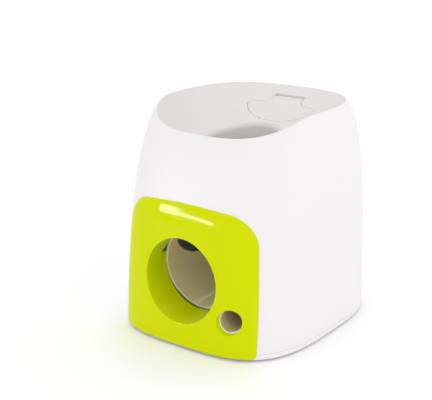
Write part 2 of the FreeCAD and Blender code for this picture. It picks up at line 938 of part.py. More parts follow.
def make_treat_lid():
    y, height, _ = hinge_place()
    lid = dish_slab().common(lid_prism(0.0))
    barrel = rod_x(-lid_barrel_half, lid_barrel_half, y, height, lid_barrel_radius)
    lid = fused(lid, barrel)
    return lid.cut(rod_x(-far, far, y, height, lid_pin_radius + running_gap))


def make_lid_hinge_pin():
    y, height, _ = hinge_place()
    reach = lid_lug_start + lid_lug_width
    return rod_x(-reach, reach, y, height, lid_pin_radius)


# ---------------------------------------------------------------- ball chute

def chute_solid(radius, extra):
    """Pipe, rounded corner and upright collar of one radius."""
    back = (0, drop_y, chute_height(drop_y))
    front_y = chute_front - extra
    pipe = rod((0, front_y, chute_height(front_y)), back, radius)
    pipe = fused(pipe, Part.makeSphere(radius, Vector(*back)))
    return fused(pipe, rod(back, (0, drop_y, collar_top + extra), radius))


def saddle():
    """The round cut across the chute that opens its top where the ball drops in."""
    reach = block((-far, saddle_front, 0), (far, saddle_back, far))
    return rod_x(-far, far, saddle_y, saddle_height, saddle_radius).common(reach)


def make_ball_chute():
    outer = chute_solid(chute_radius + chute_wall, 0.0)
    square_end = block((-far, chute_front, 0), (far, far, far))
    parts = [outer]
    for y in (chute_leg_front, chute_leg_back):
        leg = block((-chute_leg_half, y - chute_leg_wall / 2, boss_top),
                    (chute_leg_half, y + chute_leg_wall / 2, chute_height(y)))
        reach = chute_leg_half + chute_foot_reach
        foot = block((-reach, y - boss_radius, boss_top), (reach, y + boss_radius, boss_top + tab_height))
        parts += [leg, foot]
    chute = join(parts).cut(chute_solid(chute_radius, 3 * front_cut_start)).common(square_end)
    half = blade_half + notch_side
    notch = block((-half, notch_front, notch_bottom), (half, notch_back, far))
    chute = chute.cut(saddle()).cut(notch)
    for x, y in chute_foot_places():
        chute = chute.cut(passage((x, y, boss_top - 1), (x, y, boss_top + tab_height + 1)))
    return chute


# ---------------------------------------------------------------- treat store, drum and tube

def make_treat_hopper():
    inner_gap = hopper_body_gap + wall
    low, high = hopper_floor - hopper_floor_room, back_rim + 2 * past
    floor_point = (drum_middle, hopper_front, hopper_floor)

    def bin_space(inset, drop):
        box = block((hopper_left + inset, hopper_front + inset, low),
                    (hopper_right - inset, hopper_back - inset, far))
        box = box.common(body_slice(inner_gap + inset, low, high, 9))
        floor_at = (floor_point[0], floor_point[1], floor_point[2] - drop)
        return box.common(above_plane(floor_at, -hopper_floor_side_slope, hopper_floor_back_slope))

    duct_left = drum_middle - neck_half - hopper_wall
    duct_right = drum_middle + neck_half + hopper_wall
    duct_low = neck_top + neck_seat_gap
    duct_front = drum_y - neck_half - hopper_wall
    duct_top = hopper_floor + neck_half
    duct = block((duct_left, duct_front, duct_low), (duct_right, hopper_front + hopper_wall, duct_top))
    way = side_prism(duct_left + hopper_wall, duct_right - hopper_wall,
                     [(duct_front + hopper_wall, duct_low - 1), (drum_y + neck_half, duct_low - 1),
                      (drum_y + neck_half, duct_low + hopper_wall), (hopper_front, hopper_floor),
                      (hopper_front + 2 * hopper_wall, hopper_floor + 1),
                      (hopper_front + 2 * hopper_wall, duct_top - hopper_wall),
                      (duct_front + hopper_wall, duct_top - hopper_wall)])
    ears = []
    for x, y in hopper_ear_places():
        root_x, root_y = max(x, hopper_left + hopper_wall / 2), max(y, hopper_front + hopper_wall / 2)
        ears.append(rod_z(ear_height, ear_height + ear_thickness, x, y, ear_radius))
        side_x, side_y = ear_radius * (root_x == x), ear_radius * (root_y == y)
        ears.append(block((x - side_x, y - side_y, ear_height),
                          (root_x + side_x, root_y + side_y, ear_height + ear_thickness)))
    shell = join([bin_space(0.0, hopper_wall), duct] + ears)
    shell = shell.cut(bin_space(hopper_wall, 0.0)).cut(way)
    slope = lip_tilt + shelf_tilt
    seat = floor_height(hopper_back) - 2 * dish_wall - lid_rest_gap - lid_ledge_depth - hopper_top_gap
    shell = shell.cut(above_plane((0, hopper_back, seat), 0.0, slope))
    for x, y in hopper_ear_places():
        shell = shell.cut(passage((x, y, ear_height - 1), (x, y, ear_height + ear_thickness + 1)))
    return shell


def make_dispenser_casing():
    outer_radius = drum_radius + drum_gap + casing_wall
    drum_room = rod_x(casing_left + casing_wall, cover_left + 1, drum_y, drum_height, drum_radius + drum_gap)
    right = cover_left - fixed_gap
    cup = rod_x(casing_left, right, drum_y, drum_height, outer_radius)
    neck_reach = neck_half + neck_wall
    neck = block((drum_middle - neck_reach, drum_y - neck_reach, drum_height),
                 (min(drum_middle + neck_reach, right), drum_y + neck_reach, neck_top))
    outlet_reach = outlet_half + neck_wall / 2
    outlet = block((drum_middle - outlet_reach, drum_y - outlet_reach, outlet_bottom),
                   (drum_middle + outlet_reach, drum_y + outlet_reach, drum_height))
    ears = [rod_x(casing_left, right, y, height, casing_ear_radius) for y, height in casing_ear_places()]
    casing = join([cup, neck, outlet] + ears).cut(drum_room)
    casing = casing.cut(block((drum_middle - neck_half, drum_y - neck_half, drum_height),
                              (drum_middle + neck_half, drum_y + neck_half, neck_top + 1)))
    casing = casing.cut(block((drum_middle - outlet_half, drum_y - outlet_half, outlet_bottom - 1),
                              (drum_middle + outlet_half, drum_y + outlet_half, drum_height)))
    holes = [rod_x(casing_left - past, casing_left + casing_wall + past, drum_y, drum_height,
                   axle_radius + bush_wall + fixed_gap)]
    holes += [passage((casing_left - past, y, height), (right + past, y, height))
              for y, height in casing_ear_places()]
    return casing.cut(holes)


def make_dispenser_cover():
    """Lid of the drum's casing, with the outer bearing of the trip shaft."""
    disc = rod_x(cover_left, cover_right, drum_y, drum_height, drum_radius + drum_gap + casing_wall)
    lug_radius = shaft_radius + bush_wall + cover_lug_wall
    lugs = [rod_x(cover_left, cover_right, trip_y, trip_height, lug_radius)]
    lugs += [rod_x(cover_left, cover_right, y, height, casing_ear_radius) for y, height in casing_ear_places()]
    cover = join([disc] + lugs)
    holes = [rod_x(cover_left - 1, cover_right + 1, drum_y, drum_height, axle_radius + bush_wall + fixed_gap),
             rod_x(cover_left - 1, cover_right + 1, trip_y, trip_height, shaft_radius + bush_wall + fixed_gap)]
    holes += [passage((cover_left - 1, y, height), (cover_right + 1, y, height))
              for y, height in casing_ear_places()]
    return cover.cut(holes)


def make_dispenser_drum():
    drum = rod_x(drum_left, drum_right, drum_y, drum_height, drum_radius)
    pocket_low = drum_height + drum_radius - pocket_depth + pocket_radius / 2
    pocket = rod_z(pocket_low, drum_height + drum_radius + 5, drum_middle, drum_y, pocket_radius)
    bottom = Part.makeSphere(pocket_radius, Vector(0, 0, 0))
    squash = FreeCAD.Matrix()
    squash.scale(1, 1, 0.5)
    bottom = bottom.transformGeometry(squash)
    pocket = fused(pocket, moved(bottom, drum_middle, drum_y, pocket_low))
    return drum.cut(pocket).cut(rod_x(0, far, drum_y, drum_height, axle_radius + fixed_gap))


def make_wiper_blade():
    back = drum_y + neck_half - fixed_gap
    front = back - wiper_thickness
    surface = drum_height + math.sqrt(drum_radius ** 2 - (front - drum_y) ** 2)
    low = surface + wiper_gap
    half = neck_half - wiper_gap
    return block((drum_middle - half, front, low), (drum_middle + half, back, low + wiper_height))


def make_treat_tube():
    end = treat_length()
    pipe = treat_rod(treat_lip + 0.05, end, treat_bore + treat_wall)
    outer = treat_head_half
    inner = treat_head_half - treat_head_wall
    head = block((drum_middle - outer, drum_y - outer, treat_head_low),
                 (drum_middle + outer, drum_y + outer, treat_head_top))
    room = block((drum_middle - inner, drum_y - inner, treat_head_low + treat_head_wall),
                 (drum_middle + inner, drum_y + inner, treat_head_top + 1))
    return fused(pipe, head).cut(treat_rod(-10, end, treat_bore)).cut(room)


# ---------------------------------------------------------------- shafts, gears and paddle

def bush(left, right, y, height, inner, flange_side):
    """Flanged bush: it fills the wall from left to right, with its flange on one side."""
    body = rod_x(left, right, y, height, inner + bush_wall)
    if flange_side > 0:
        flange = rod_x(right, right + bush_flange_wall, y, height, inner + bush_wall + bush_flange)
    else:
        flange = rod_x(left - bush_flange_wall, left, y, height, inner + bush_wall + bush_flange)
    return fused(body, flange).cut(rod_x(left - 5, right + 5, y, height, inner + running_gap))


def make_shaft_bushes():
    outer = bracket_inner + bracket_thickness
    return Part.Compound([
        bush(-outer, -bracket_inner, trip_y, trip_height, shaft_radius, -1),
        bush(bracket_inner, outer, trip_y, trip_height, shaft_radius, -1),
        bush(cover_left, cover_right, trip_y, trip_height, shaft_radius, 1)])


def make_drum_bushes():
    return Part.Compound([
        bush(casing_left, casing_left + casing_wall, drum_y, drum_height, axle_radius, -1),
        bush(cover_left, cover_right, drum_y, drum_height, axle_radius, 1)])


def trip_shaft_ends():
    left = -(bracket_inner + bracket_thickness + bush_flange_wall + shaft_overhang)
    return left, gear_left + gear_width + gear_hub + shaft_overhang


def drum_axle_ends():
    return casing_left - bush_flange_wall - shaft_overhang, gear_left + gear_width + gear_hub + shaft_overhang


def clip_places(ends):
    """Where the retaining clips sit on a shaft, just inside its ends."""
    return ends[0] + clip_thickness, ends[1] - 2 * clip_thickness


def grooved_shaft(ends, y, height, radius):
    shaft = rod_x(ends[0], ends[1], y, height, radius)
    for left in clip_places(ends):
        shaft = shaft.cut(ring_x(left, left + clip_thickness, y, height, radius - clip_groove, radius + 1))
    return shaft


def clips(ends, y, height, radius):
    rings = [ring_x(left + fixed_gap, left + clip_thickness - fixed_gap, y, height,
                    radius - clip_groove + fixed_gap, radius + clip_wall) for left in clip_places(ends)]
    opening = radius * clip_opening
    mouth = [block((left - past, y - opening, height - far),
                   (left + clip_thickness + past, y + opening, height - radius / 2))
             for left in clip_places(ends)]
    return Part.Compound([ring.cut(gap) for ring, gap in zip(rings, mouth)])


def involute(angle):
    return math.tan(angle) - angle


def gear_face(teeth, first_tooth):
    """Spur gear seen along X: involute flanks, with a tooth's middle at the given angle."""
    pitch = gear_module * teeth / 2
    base = pitch * math.cos(math.radians(pressure_angle))
    tip = pitch + addendum * gear_module
    root = pitch - dedendum * gear_module
    half_tooth = (math.pi / 2 - backlash / gear_module) / teeth

    def at(radius, angle):
        return Vector(0, radius * math.cos(angle), radius * math.sin(angle))

    def flank(radius):
        """Half the tooth's width at a radius, as an angle."""
        pressure = math.acos(min(1.0, base / max(radius, base)))
        return half_tooth + involute(math.radians(pressure_angle)) - involute(pressure)

    start = max(base, root)
    radii = [start + (tip - start) * step / 5 for step in range(6)]
    edges = []
    for tooth in range(teeth):
        middle = first_tooth + 2 * math.pi * tooth / teeth
        step = 2 * math.pi / teeth
        rising = Part.BSplineCurve()
        rising.interpolate([at(radius, middle - flank(radius)) for radius in radii])
        falling = Part.BSplineCurve()
        falling.interpolate([at(radius, middle + flank(radius)) for radius in reversed(radii)])
        foot = flank(start)
        edges.append(Part.makeLine(at(root, middle - foot), at(start, middle - foot)))
        edges.append(rising.toShape())
        edges.append(Part.Arc(at(tip, middle - flank(tip)), at(tip, middle),
                              at(tip, middle + flank(tip))).toShape())
        edges.append(falling.toShape())
        edges.append(Part.makeLine(at(start, middle + foot), at(root, middle + foot)))
        edges.append(Part.Arc(at(root, middle + foot), at(root, middle + step / 2),
                              at(root, middle + step - foot)).toShape())
    return Part.Face(Part.Wire(edges))


def mesh_angle():
    """Direction from the trip shaft to the drum's axle."""
    return math.atan2(drum_height - trip_height, drum_y - trip_y)


def make_drum_pinion():
    first = mesh_angle() + math.pi + math.pi / pinion_teeth
    wheel = gear_face(pinion_teeth, first).extrude(Vector(gear_width, 0, 0))
    wheel = moved(wheel, gear_left, drum_y, drum_height)
    hub = rod_x(gear_left, gear_left + gear_width + gear_hub, drum_y, drum_height, gear_hub_radius)
    return fused(wheel, hub).cut(rod_x(0, far, drum_y, drum_height, axle_radius + fixed_gap))


def make_sector_gear():
    """Part of a full gear: enough teeth for the paddle's swing, on a hub."""
    wheel = gear_face(sector_teeth, mesh_angle()).extrude(Vector(gear_width, 0, 0))
    tooth = 360.0 / sector_teeth
    spare = sector_spare_teeth * tooth
    start = math.degrees(mesh_angle()) - trip_swing - spare
    sweep = trip_swing + 2 * spare
    wedge = Part.makeCylinder(far / 4, gear_width, Vector(0, 0, 0), Vector(1, 0, 0), sweep)
    wedge.rotate(Vector(0, 0, 0), Vector(1, 0, 0), start - wedge_zero(sweep))
    wheel = moved(wheel.common(wedge), gear_left, trip_y, trip_height)
    hub = rod_x(gear_left, gear_left + gear_width + gear_hub, trip_y, trip_height, gear_hub_radius)
    return fused(wheel, hub).cut(rod_x(0, far, trip_y, trip_height, shaft_radius + fixed_gap))


def wedge_zero(sweep):
    """Angle, seen along X, at which a part cylinder about X starts."""
    wedge = Part.makeCylinder(1.0, 1.0, Vector(0, 0, 0), Vector(1, 0, 0), sweep)
    middle = wedge.CenterOfMass
    return math.degrees(math.atan2(middle.z, middle.y)) - sweep / 2


def make_trip_paddle():
    tip = trip_y - blade_reach
    blade = block((-blade_half, tip + blade_half, trip_height - blade_thickness / 2),
                  (blade_half, trip_y, trip_height + blade_thickness / 2))
    low, high = trip_height - blade_thickness / 2, trip_height + blade_thickness / 2
    nose = rod_z(low, high, 0, tip + blade_half, blade_half)
    rib_outline = [(trip_y, trip_height), (tip + blade_half, trip_height),
                   (trip_y - hub_radius, low - blade_rib), (trip_y, trip_height - blade_rib_root)]
    ribs = [side_prism(x - blade_rib_wall / 2, x + blade_rib_wall / 2, rib_outline)
            for x in (-blade_half / 2, blade_half / 2)]
    blade = turned_about_x(join([blade, nose] + ribs), trip_y, trip_height, -blade_tilt)
    hub = rod_x(-hub_half, hub_half, trip_y, trip_height, hub_radius)
    low, high = trip_height - fin_thickness / 2, trip_height + fin_thickness / 2
    fin = block((-hub_half, trip_y, low), (-hub_half + fin_width, trip_y + fin_reach, high))
    hook = block((-hub_half - fin_hook, trip_y + fin_hook_start, low),
                 (-hub_half + fin_width, trip_y + fin_reach, high))
    paddle = fused(blade, hub, fin, hook)
    return paddle.cut(rod_x(-far, far, trip_y, trip_height, shaft_radius + fixed_gap))


def stop_place():
    """Middle of the peg that stops the paddle's fin at rest."""
    return trip_y + stop_reach, trip_height - fin_thickness / 2 - stop_gap - stop_radius


def spring_line():
    """Middle line of the spring's wire: a leg, the coil from its bottom to its top, and the other leg."""
    left = -bracket_inner + spring_side_gap
    right = left + spring_turns * spring_pitch
    stop_y, stop_height = stop_place()
    low_height = trip_height - spring_radius
    drop = (stop_height - stop_radius - spring_wire - spring_leg_gap - low_height) / stop_reach
    fin_top = trip_height + fin_thickness / 2 + spring_wire + spring_leg_gap
    points = [Vector(left, trip_y + spring_leg, low_height + drop * spring_leg)]
    steps = round(spring_turns * spring_steps)
    for step in range(steps + 1):
        angle = math.pi / 2 + 2 * math.pi * spring_turns * (1 - step / steps)
        points.append(Vector(left + (right - left) * step / steps, trip_y + spring_radius * math.cos(angle),
                             trip_height + spring_radius * math.sin(angle)))
    return points + [Vector(right, trip_y + spring_leg, fin_top)]


def wire_section(point, direction):
    """Round section of a wire, square to its direction."""
    across = direction.cross(Vector(1, 0, 0))
    circle = Part.Circle(point, direction, spring_wire)
    circle.XAxis = across.normalize()
    return circle.toShape()


def make_return_spring():
    """Torsion spring: one leg under the stop peg, the other on the paddle's fin."""
    line = spring_line()
    before = [line[0]] + line[:-1]
    after = line[1:] + [line[-1]]
    sections = [wire_section(point, end - start) for start, point, end in zip(before, line, after)]
    skin = [Part.makeRuledSurface(first, second) for first, second in zip(sections, sections[1:])]
    return sewn(skin + [Part.Face(Part.Wire(sections[0])), Part.Face(Part.Wire(sections[-1]))])


def make_left_bracket():
    outer, inner = -(bracket_inner + bracket_thickness), -bracket_inner
    outline = [(bracket_foot_front, boss_top), (bracket_foot_back, boss_top),
               (trip_y + bracket_top_back, bracket_top), (trip_y - bracket_top_front, bracket_top)]
    plate = side_prism(outer, inner, outline)
    foot = block((outer - bracket_foot_reach, bracket_foot_front, boss_top),
                 (inner, bracket_foot_back, boss_top + tab_height))
    stop_y, stop_height = stop_place()
    stop_end = -hub_half - fin_hook / 2
    stop = rod_x(inner - bracket_thickness / 2, stop_end, stop_y, stop_height, stop_radius)
    bracket = fused(plate, foot, stop)
    bracket = bracket.cut(rod_x(-far, 0, trip_y, trip_height, shaft_radius + bush_wall + fixed_gap))
    for x, y in bracket_foot_places():
        bracket = bracket.cut(passage((x, y, boss_top - 1), (x, y, boss_top + tab_height + 1)))
    return bracket


def make_right_bracket():
    inner, outer = bracket_inner, bracket_inner + bracket_thickness
    outline = [(bracket_foot_front, boss_top), (bracket_foot_back, boss_top),
               (trip_y + bracket_top_back, bracket_top), (drum_y, bracket_top + bracket_peak),
               (bracket_shoulder_front, bracket_top - bracket_shoulder_drop),
               (bracket_shoulder_front, bracket_shoulder_low),
               (bracket_foot_front, bracket_shoulder_low - bracket_haunch)]
    plate = side_prism(inner, outer, outline)
    foot = block((inner, bracket_foot_front, boss_top),
                 (outer + bracket_foot_reach, bracket_foot_back, boss_top + tab_height))
    bracket = fused(plate, foot)
    holes = [rod_x(0, far, trip_y, trip_height, shaft_radius + bush_wall + fixed_gap),
             rod_x(0, far, drum_y, drum_height, axle_radius + bush_wall + bush_flange + 1)]
    holes += [rod_x(0, far, y, height, screw_radius) for y, height in casing_ear_places()]
    holes += [passage((x, y, boss_top - past), (x, y, boss_top + tab_height + past))
              for x, y in bracket_foot_places()]
    return bracket.cut(holes)


# ---------------------------------------------------------------- screws

def screws_down(places, seat, grip):
    return Part.Compound([screw((x, y, seat), (0, 0, -1), grip) for x, y in places])


def screws_up(places, seat, grip):
    return Part.Compound([screw((x, y, seat), (0, 0, 1), grip) for x, y in places])


def make_bezel_screws():
    screws = []
    for x, height in stud_places():
        screws.append(screw((x, stud_seat(x, height), height), (0, -1, 0), stud_screw_grip))
    return Part.Compound(screws)


def make_casing_screws():
    grip = cover_right - bracket_inner
    return Part.Compound([screw((cover_right, y, height), (-1, 0, 0), grip)
                          for y, height in casing_ear_places()])


pieces = {
    "housing": make_housing,
    "base_plate": make_base_plate,
    "rubber_feet": make_rubber_feet,
    "front_bezel": make_front_bezel,
    "funnel_bowl": make_funnel_bowl,
    "treat_lid": make_treat_lid,
    "lid_hinge_pin": make_lid_hinge_pin,
    "ball_chute": make_ball_chute,
    "treat_hopper": make_treat_hopper,
    "dispenser_casing": make_dispenser_casing,
    "dispenser_cover": make_dispenser_cover,
    "dispenser_drum": make_dispenser_drum,
    "drum_axle": lambda: grooved_shaft(drum_axle_ends(), drum_y, drum_height, axle_radius),
    "drum_pinion": make_drum_pinion,
    "drum_bushes": make_drum_bushes,
    "drum_clips": lambda: clips(drum_axle_ends(), drum_y, drum_height, axle_radius),
    "wiper_blade": make_wiper_blade,
    "treat_tube": make_treat_tube,
    "trip_paddle": make_trip_paddle,
    "trip_shaft": lambda: grooved_shaft(trip_shaft_ends(), trip_y, trip_height, shaft_radius),
    "sector_gear": make_sector_gear,
    "shaft_bushes": make_shaft_bushes,
    "shaft_clips": lambda: clips(trip_shaft_ends(), trip_y, trip_height, shaft_radius),
    "return_spring": make_return_spring,
    "left_bracket": make_left_bracket,
    "right_bracket": make_right_bracket,
    "base_screws": lambda: screws_up(base_boss_places(), 0.0, base_floor + screw_grip),
    "bezel_screws": make_bezel_screws,
    "bowl_screws": lambda: screws_up(shelf_places(), shelf_top - shelf_height, shelf_height + screw_grip),
    "chute_screws": lambda: screws_down(chute_foot_places(), boss_top + tab_height,
                                        tab_height + foot_screw_grip),
    "bracket_screws": lambda: screws_down(bracket_foot_places(), boss_top + tab_height,
                                          tab_height + foot_screw_grip),
    "casing_screws": make_casing_screws,
    "hopper_screws": lambda: screws_up(hopper_ear_places(), ear_height, ear_thickness + ear_screw_grip),
}


def main():
    os.makedirs("parts", exist_ok=True)
    for name, make in pieces.items():
        shape = moved(make(), 0, 0, foot_rise)
        solids = shape.Solids
        print(f"{name}: {len(solids)} solids, {shape.Volume / 1000:.2f} cm3, valid {shape.isValid()}")
        shape = solids[0] if len(solids) == 1 else Part.Compound(solids)
        shape.exportStep(os.path.join("parts", name + ".step"))


main()
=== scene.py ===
"""Looks of the ball launcher: the skin, dish, front panel, moulded insides, fittings, light and camera.

Lengths are in metres in the row frame: X to the right of the front face, Y towards the back, Z up, with
the rubber feet on z = 0. Shapes are worked out as whole numpy grids, then put into meshes.
"""
from __future__ import annotations

import json
import logging
import math
from dataclasses import dataclass, field
from enum import Enum
from typing import Sequence

import bpy
import numpy as np
from mathutils import Matrix, Vector

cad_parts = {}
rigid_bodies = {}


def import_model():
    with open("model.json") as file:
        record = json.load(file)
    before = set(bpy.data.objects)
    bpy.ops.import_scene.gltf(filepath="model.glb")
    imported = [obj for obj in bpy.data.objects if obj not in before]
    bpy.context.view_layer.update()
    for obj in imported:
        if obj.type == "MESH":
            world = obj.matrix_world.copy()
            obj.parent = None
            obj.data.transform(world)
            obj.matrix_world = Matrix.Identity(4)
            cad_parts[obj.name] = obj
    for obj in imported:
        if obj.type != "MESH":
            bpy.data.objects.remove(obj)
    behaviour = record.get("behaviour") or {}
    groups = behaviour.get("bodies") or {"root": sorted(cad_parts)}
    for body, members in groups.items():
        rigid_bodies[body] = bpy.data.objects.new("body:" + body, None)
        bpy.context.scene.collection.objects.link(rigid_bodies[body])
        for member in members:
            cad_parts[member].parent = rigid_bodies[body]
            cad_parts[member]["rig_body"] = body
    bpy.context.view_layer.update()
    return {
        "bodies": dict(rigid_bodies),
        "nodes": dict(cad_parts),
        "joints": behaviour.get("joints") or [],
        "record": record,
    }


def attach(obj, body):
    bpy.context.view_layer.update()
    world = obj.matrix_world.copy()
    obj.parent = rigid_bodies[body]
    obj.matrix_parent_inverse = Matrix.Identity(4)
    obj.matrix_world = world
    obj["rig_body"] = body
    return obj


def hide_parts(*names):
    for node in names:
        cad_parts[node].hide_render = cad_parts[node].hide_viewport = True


LOG = logging.getLogger("ball_launcher")
# Face mark of the ways: 1 for painted light, 0.5 for plain painted shade, 0 for deeper painted shade.
PAINTED_LIGHT_MARK = "painted_light_and_shade_mark"
Array = np.ndarray
Colour = tuple[float, float, float]


class Slot(Enum):
    """Material slots of the record."""

    WHITE_SHELL = "white_shell"
    WHITE_DISH = "white_dish"
    LIME_PANEL = "lime_panel"
    WHITE_WAY = "white_way"
    CLEAR_STORE = "clear_store"
    GREY_CASING = "grey_casing"
    DARK_BRACKET = "dark_bracket"
    NATURAL_DRUM = "natural_drum"
    BLUE_PADDLE = "blue_paddle"
    STEEL = "steel"
    SPRING_STEEL = "spring_steel"
    SCREW_STEEL = "screw_steel"
    BLACK_RUBBER = "black_rubber"


class Cut(Enum):
    """Ways to combine two closed meshes."""

    REMOVE = "DIFFERENCE"
    ADD = "UNION"
    KEEP = "INTERSECT"


# ---------------------------------------------------------------- shader expressions


class Expr:
    """A shader value that takes part in ordinary arithmetic."""

    def __init__(self, graph: "Graph", socket: bpy.types.NodeSocket) -> None:
        """Keeps the graph that owns the socket."""
        self.graph = graph
        self.socket = socket

    def __add__(self, other: "Operand") -> "Expr":
        """Sum."""
        return self.graph.math("ADD", self, other)

    __radd__ = __add__

    def __mul__(self, other: "Operand") -> "Expr":
        """Product."""
        return self.graph.math("MULTIPLY", self, other)

    __rmul__ = __mul__

    def __sub__(self, other: "Operand") -> "Expr":
        """Difference."""
        return self.graph.math("SUBTRACT", self, other)

    def __rsub__(self, other: "Operand") -> "Expr":
        """Difference from a number on the left."""
        return self.graph.math("SUBTRACT", other, self)

    def limited(self) -> "Expr":
        """The value held between 0 and 1."""
        return self.graph.math("ADD", self, 0.0, clamp=True)

    def step(self, low: float, high: float) -> "Expr":
        """Smooth rise from 0 at low to 1 at high."""
        settings = {"interpolation_type": "SMOOTHSTEP"}
        limits = {"Value": self, "From Min": low, "From Max": high}
        return Expr(self.graph, self.graph.node("ShaderNodeMapRange", settings, limits).outputs[0])


Operand = Expr | float


class Graph:
    """Node tree of one material, with its Principled shader."""

    def __init__(self, name: str) -> None:
        """Makes the material and clears its tree down to the shader and the output."""
        self.material = bpy.data.materials.new(name)
        self.material.use_nodes = True
        self.tree = self.material.node_tree
        self.shader = self.tree.nodes["Principled BSDF"]
        self.place = self.node("ShaderNodeTexCoord", {}, {}).outputs["Object"]

    def node(self, kind: str, settings: dict[str, object], inputs: dict[str | int, object]) -> bpy.types.Node:
        """Adds one node.

        Args:
            kind: Blender's node type.
            settings: properties set before the sockets are filled.
            inputs: socket name or number to a number, colour, socket or expression.

        Returns:
            The new node.
        """
        made = self.tree.nodes.new(kind)
        for name, value in settings.items():
            setattr(made, name, value)
        for key, value in inputs.items():
            self.feed(made.inputs[key], value)
        return made

    def feed(self, socket: bpy.types.NodeSocket, value: object) -> None:
        """Links or sets one socket."""
        if isinstance(value, Expr):
            self.tree.links.new(value.socket, socket)
        elif isinstance(value, bpy.types.NodeSocket):
            self.tree.links.new(value, socket)
        else:
            socket.default_value = value

    def math(self, operation: str, left: Operand, right: Operand, clamp: bool = False) -> Expr:
        """One Math node as an expression."""
        settings = {"operation": operation, "use_clamp": clamp}
        return Expr(self, self.node("ShaderNodeMath", settings, {0: left, 1: right}).outputs[0])

    def noise(self, scale: float, detail: float = 2.0, stretch: Colour = (1.0, 1.0, 1.0)) -> Expr:
        """Noise between 0 and 1 over the piece.

        Args:
            scale: waves per metre.
            detail: octaves of finer noise.
            stretch: scale along each axis, for brushed or drawn finishes.

        Returns:
            The noise as an expression.
        """
        place = self.place
        if stretch != (1.0, 1.0, 1.0):
            place = self.node("ShaderNodeMapping", {}, {"Vector": place, "Scale": stretch}).outputs[0]
        made = self.node("ShaderNodeTexNoise", {}, {"Vector": place, "Scale": scale, "Detail": detail})
        return Expr(self, made.outputs["Fac"])

    def blend(self, share: Operand, first: object, second: object) -> bpy.types.NodeSocket:
        """Colour between two colours."""
        made = self.node("ShaderNodeMix", {"data_type": "RGBA"}, {0: share, 6: first, 7: second})
        return made.outputs[2]

    def attribute(self, name: str) -> Expr:
        """Number stored on the piece's mesh."""
        return Expr(self, self.node("ShaderNodeAttribute", {"attribute_name": name}, {}).outputs["Fac"])

    def bump(self, height: Expr, depth: float) -> bpy.types.NodeSocket:
        """Normal of a relief.

        Args:
            height: relief between 0 and 1.
            depth: its depth in metres.

        Returns:
            The Bump node's normal.
        """
        made = self.node("ShaderNodeBump", {}, {"Strength": 1.0, "Distance": depth, "Height": height})
        return made.outputs[0]

    def set(self, **values: object) -> None:
        """Fills sockets of the shader: a name's underscores stand for spaces."""
        for name, value in values.items():
            self.feed(self.shader.inputs[name.replace("_", " ")], value)


def rgba(colour: Colour) -> tuple[float, float, float, float]:
    """A colour with full alpha."""
    return (*colour, 1.0)


# ---------------------------------------------------------------- finishes


@dataclass(frozen=True)
class MouldedPlastic:
    """Injection-moulded plastic: faint flow marks in its colour, polish that varies and a fine peel; a way
    can also get painted shade inside and painted light on its edges that face forwards or up and back.
    """

    name: str
    colour: Colour
    shade: Colour
    roughness: float = 0.3
    polish_swing: float = 0.08
    peel_depth: float = 0.00002
    peel_scale: float = 420.0
    flow_scale: float = 14.0
    grain_depth: float = 0.0
    shine: float = 0.5
    # Painted shade for the faces inside a way, and painted light for its edges that face forwards or up and
    # back.
    painted_shade_colour: Colour | None = None
    painted_lit_colour: Colour = (1.0, 1.0, 1.0)

    def material(self) -> bpy.types.Material:
        """Builds the material."""
        graph = Graph(self.name)
        flow = graph.noise(self.flow_scale, 3.0)
        smudge = graph.noise(self.flow_scale * 5, 4.0)
        peel = graph.noise(self.peel_scale, 2.0)
        skin = graph.blend(flow.step(0.3, 0.75), rgba(self.colour), rgba(self.shade))
        # Painted shade inside a way and painted light on its forward edges, chosen by the face mark.
        if self.painted_shade_colour:
            mark = graph.attribute(PAINTED_LIGHT_MARK)
            skin = graph.blend((mark * 2.0).limited(), rgba(self.painted_shade_colour), skin)
            skin = graph.blend((mark * 2.0 - 1.0).limited(), skin, rgba(self.painted_lit_colour))
        graph.set(Base_Color=skin)
        swing = (smudge - 0.5) * (2 * self.polish_swing) + (peel - 0.5) * (self.polish_swing * 0.4)
        graph.set(Roughness=(swing + self.roughness).limited())
        relief = graph.bump(peel, self.peel_depth)
        if self.grain_depth:
            grain = graph.noise(self.peel_scale * 5, 3.0)
            relief = graph.bump(peel + grain * (self.grain_depth / self.peel_depth), self.peel_depth)
        graph.set(Normal=relief, IOR=1.5, Specular_IOR_Level=self.shine)
        return graph.material


@dataclass(frozen=True)
class DrawnSteel:
    """Bright steel with fine lines along X from turning or drawing."""

    name: str
    colour: Colour
    shade: Colour
    roughness: float = 0.28
    line_depth: float = 0.00001

    def material(self) -> bpy.types.Material:
        """Builds the material."""
        graph = Graph(self.name)
        lines = graph.noise(900.0, 3.0, (0.06, 1.0, 1.0))
        stain = graph.noise(120.0, 4.0)
        graph.set(Base_Color=graph.blend(stain.step(0.35, 0.8), rgba(self.colour), rgba(self.shade)))
        graph.set(Metallic=1.0, Roughness=(lines * 0.14 + stain * 0.1 + (self.roughness - 0.12)).limited())
        graph.set(Normal=graph.bump(lines, self.line_depth))
        return graph.material


@dataclass(frozen=True)
class Rubber:
    """Soft matt rubber with a fine pitted skin and pale dust on it."""

    name: str
    colour: Colour
    dust: Colour

    def material(self) -> bpy.types.Material:
        """Builds the material."""
        graph = Graph(self.name)
        pits = graph.noise(1800.0, 3.0)
        dust = graph.noise(260.0, 4.0)
        graph.set(Base_Color=graph.blend(dust.step(0.5, 0.8) * 0.35, rgba(self.colour), rgba(self.dust)))
        graph.set(Roughness=(dust * 0.12 + 0.72).limited(), Normal=graph.bump(pits, 0.00006))
        return graph.material


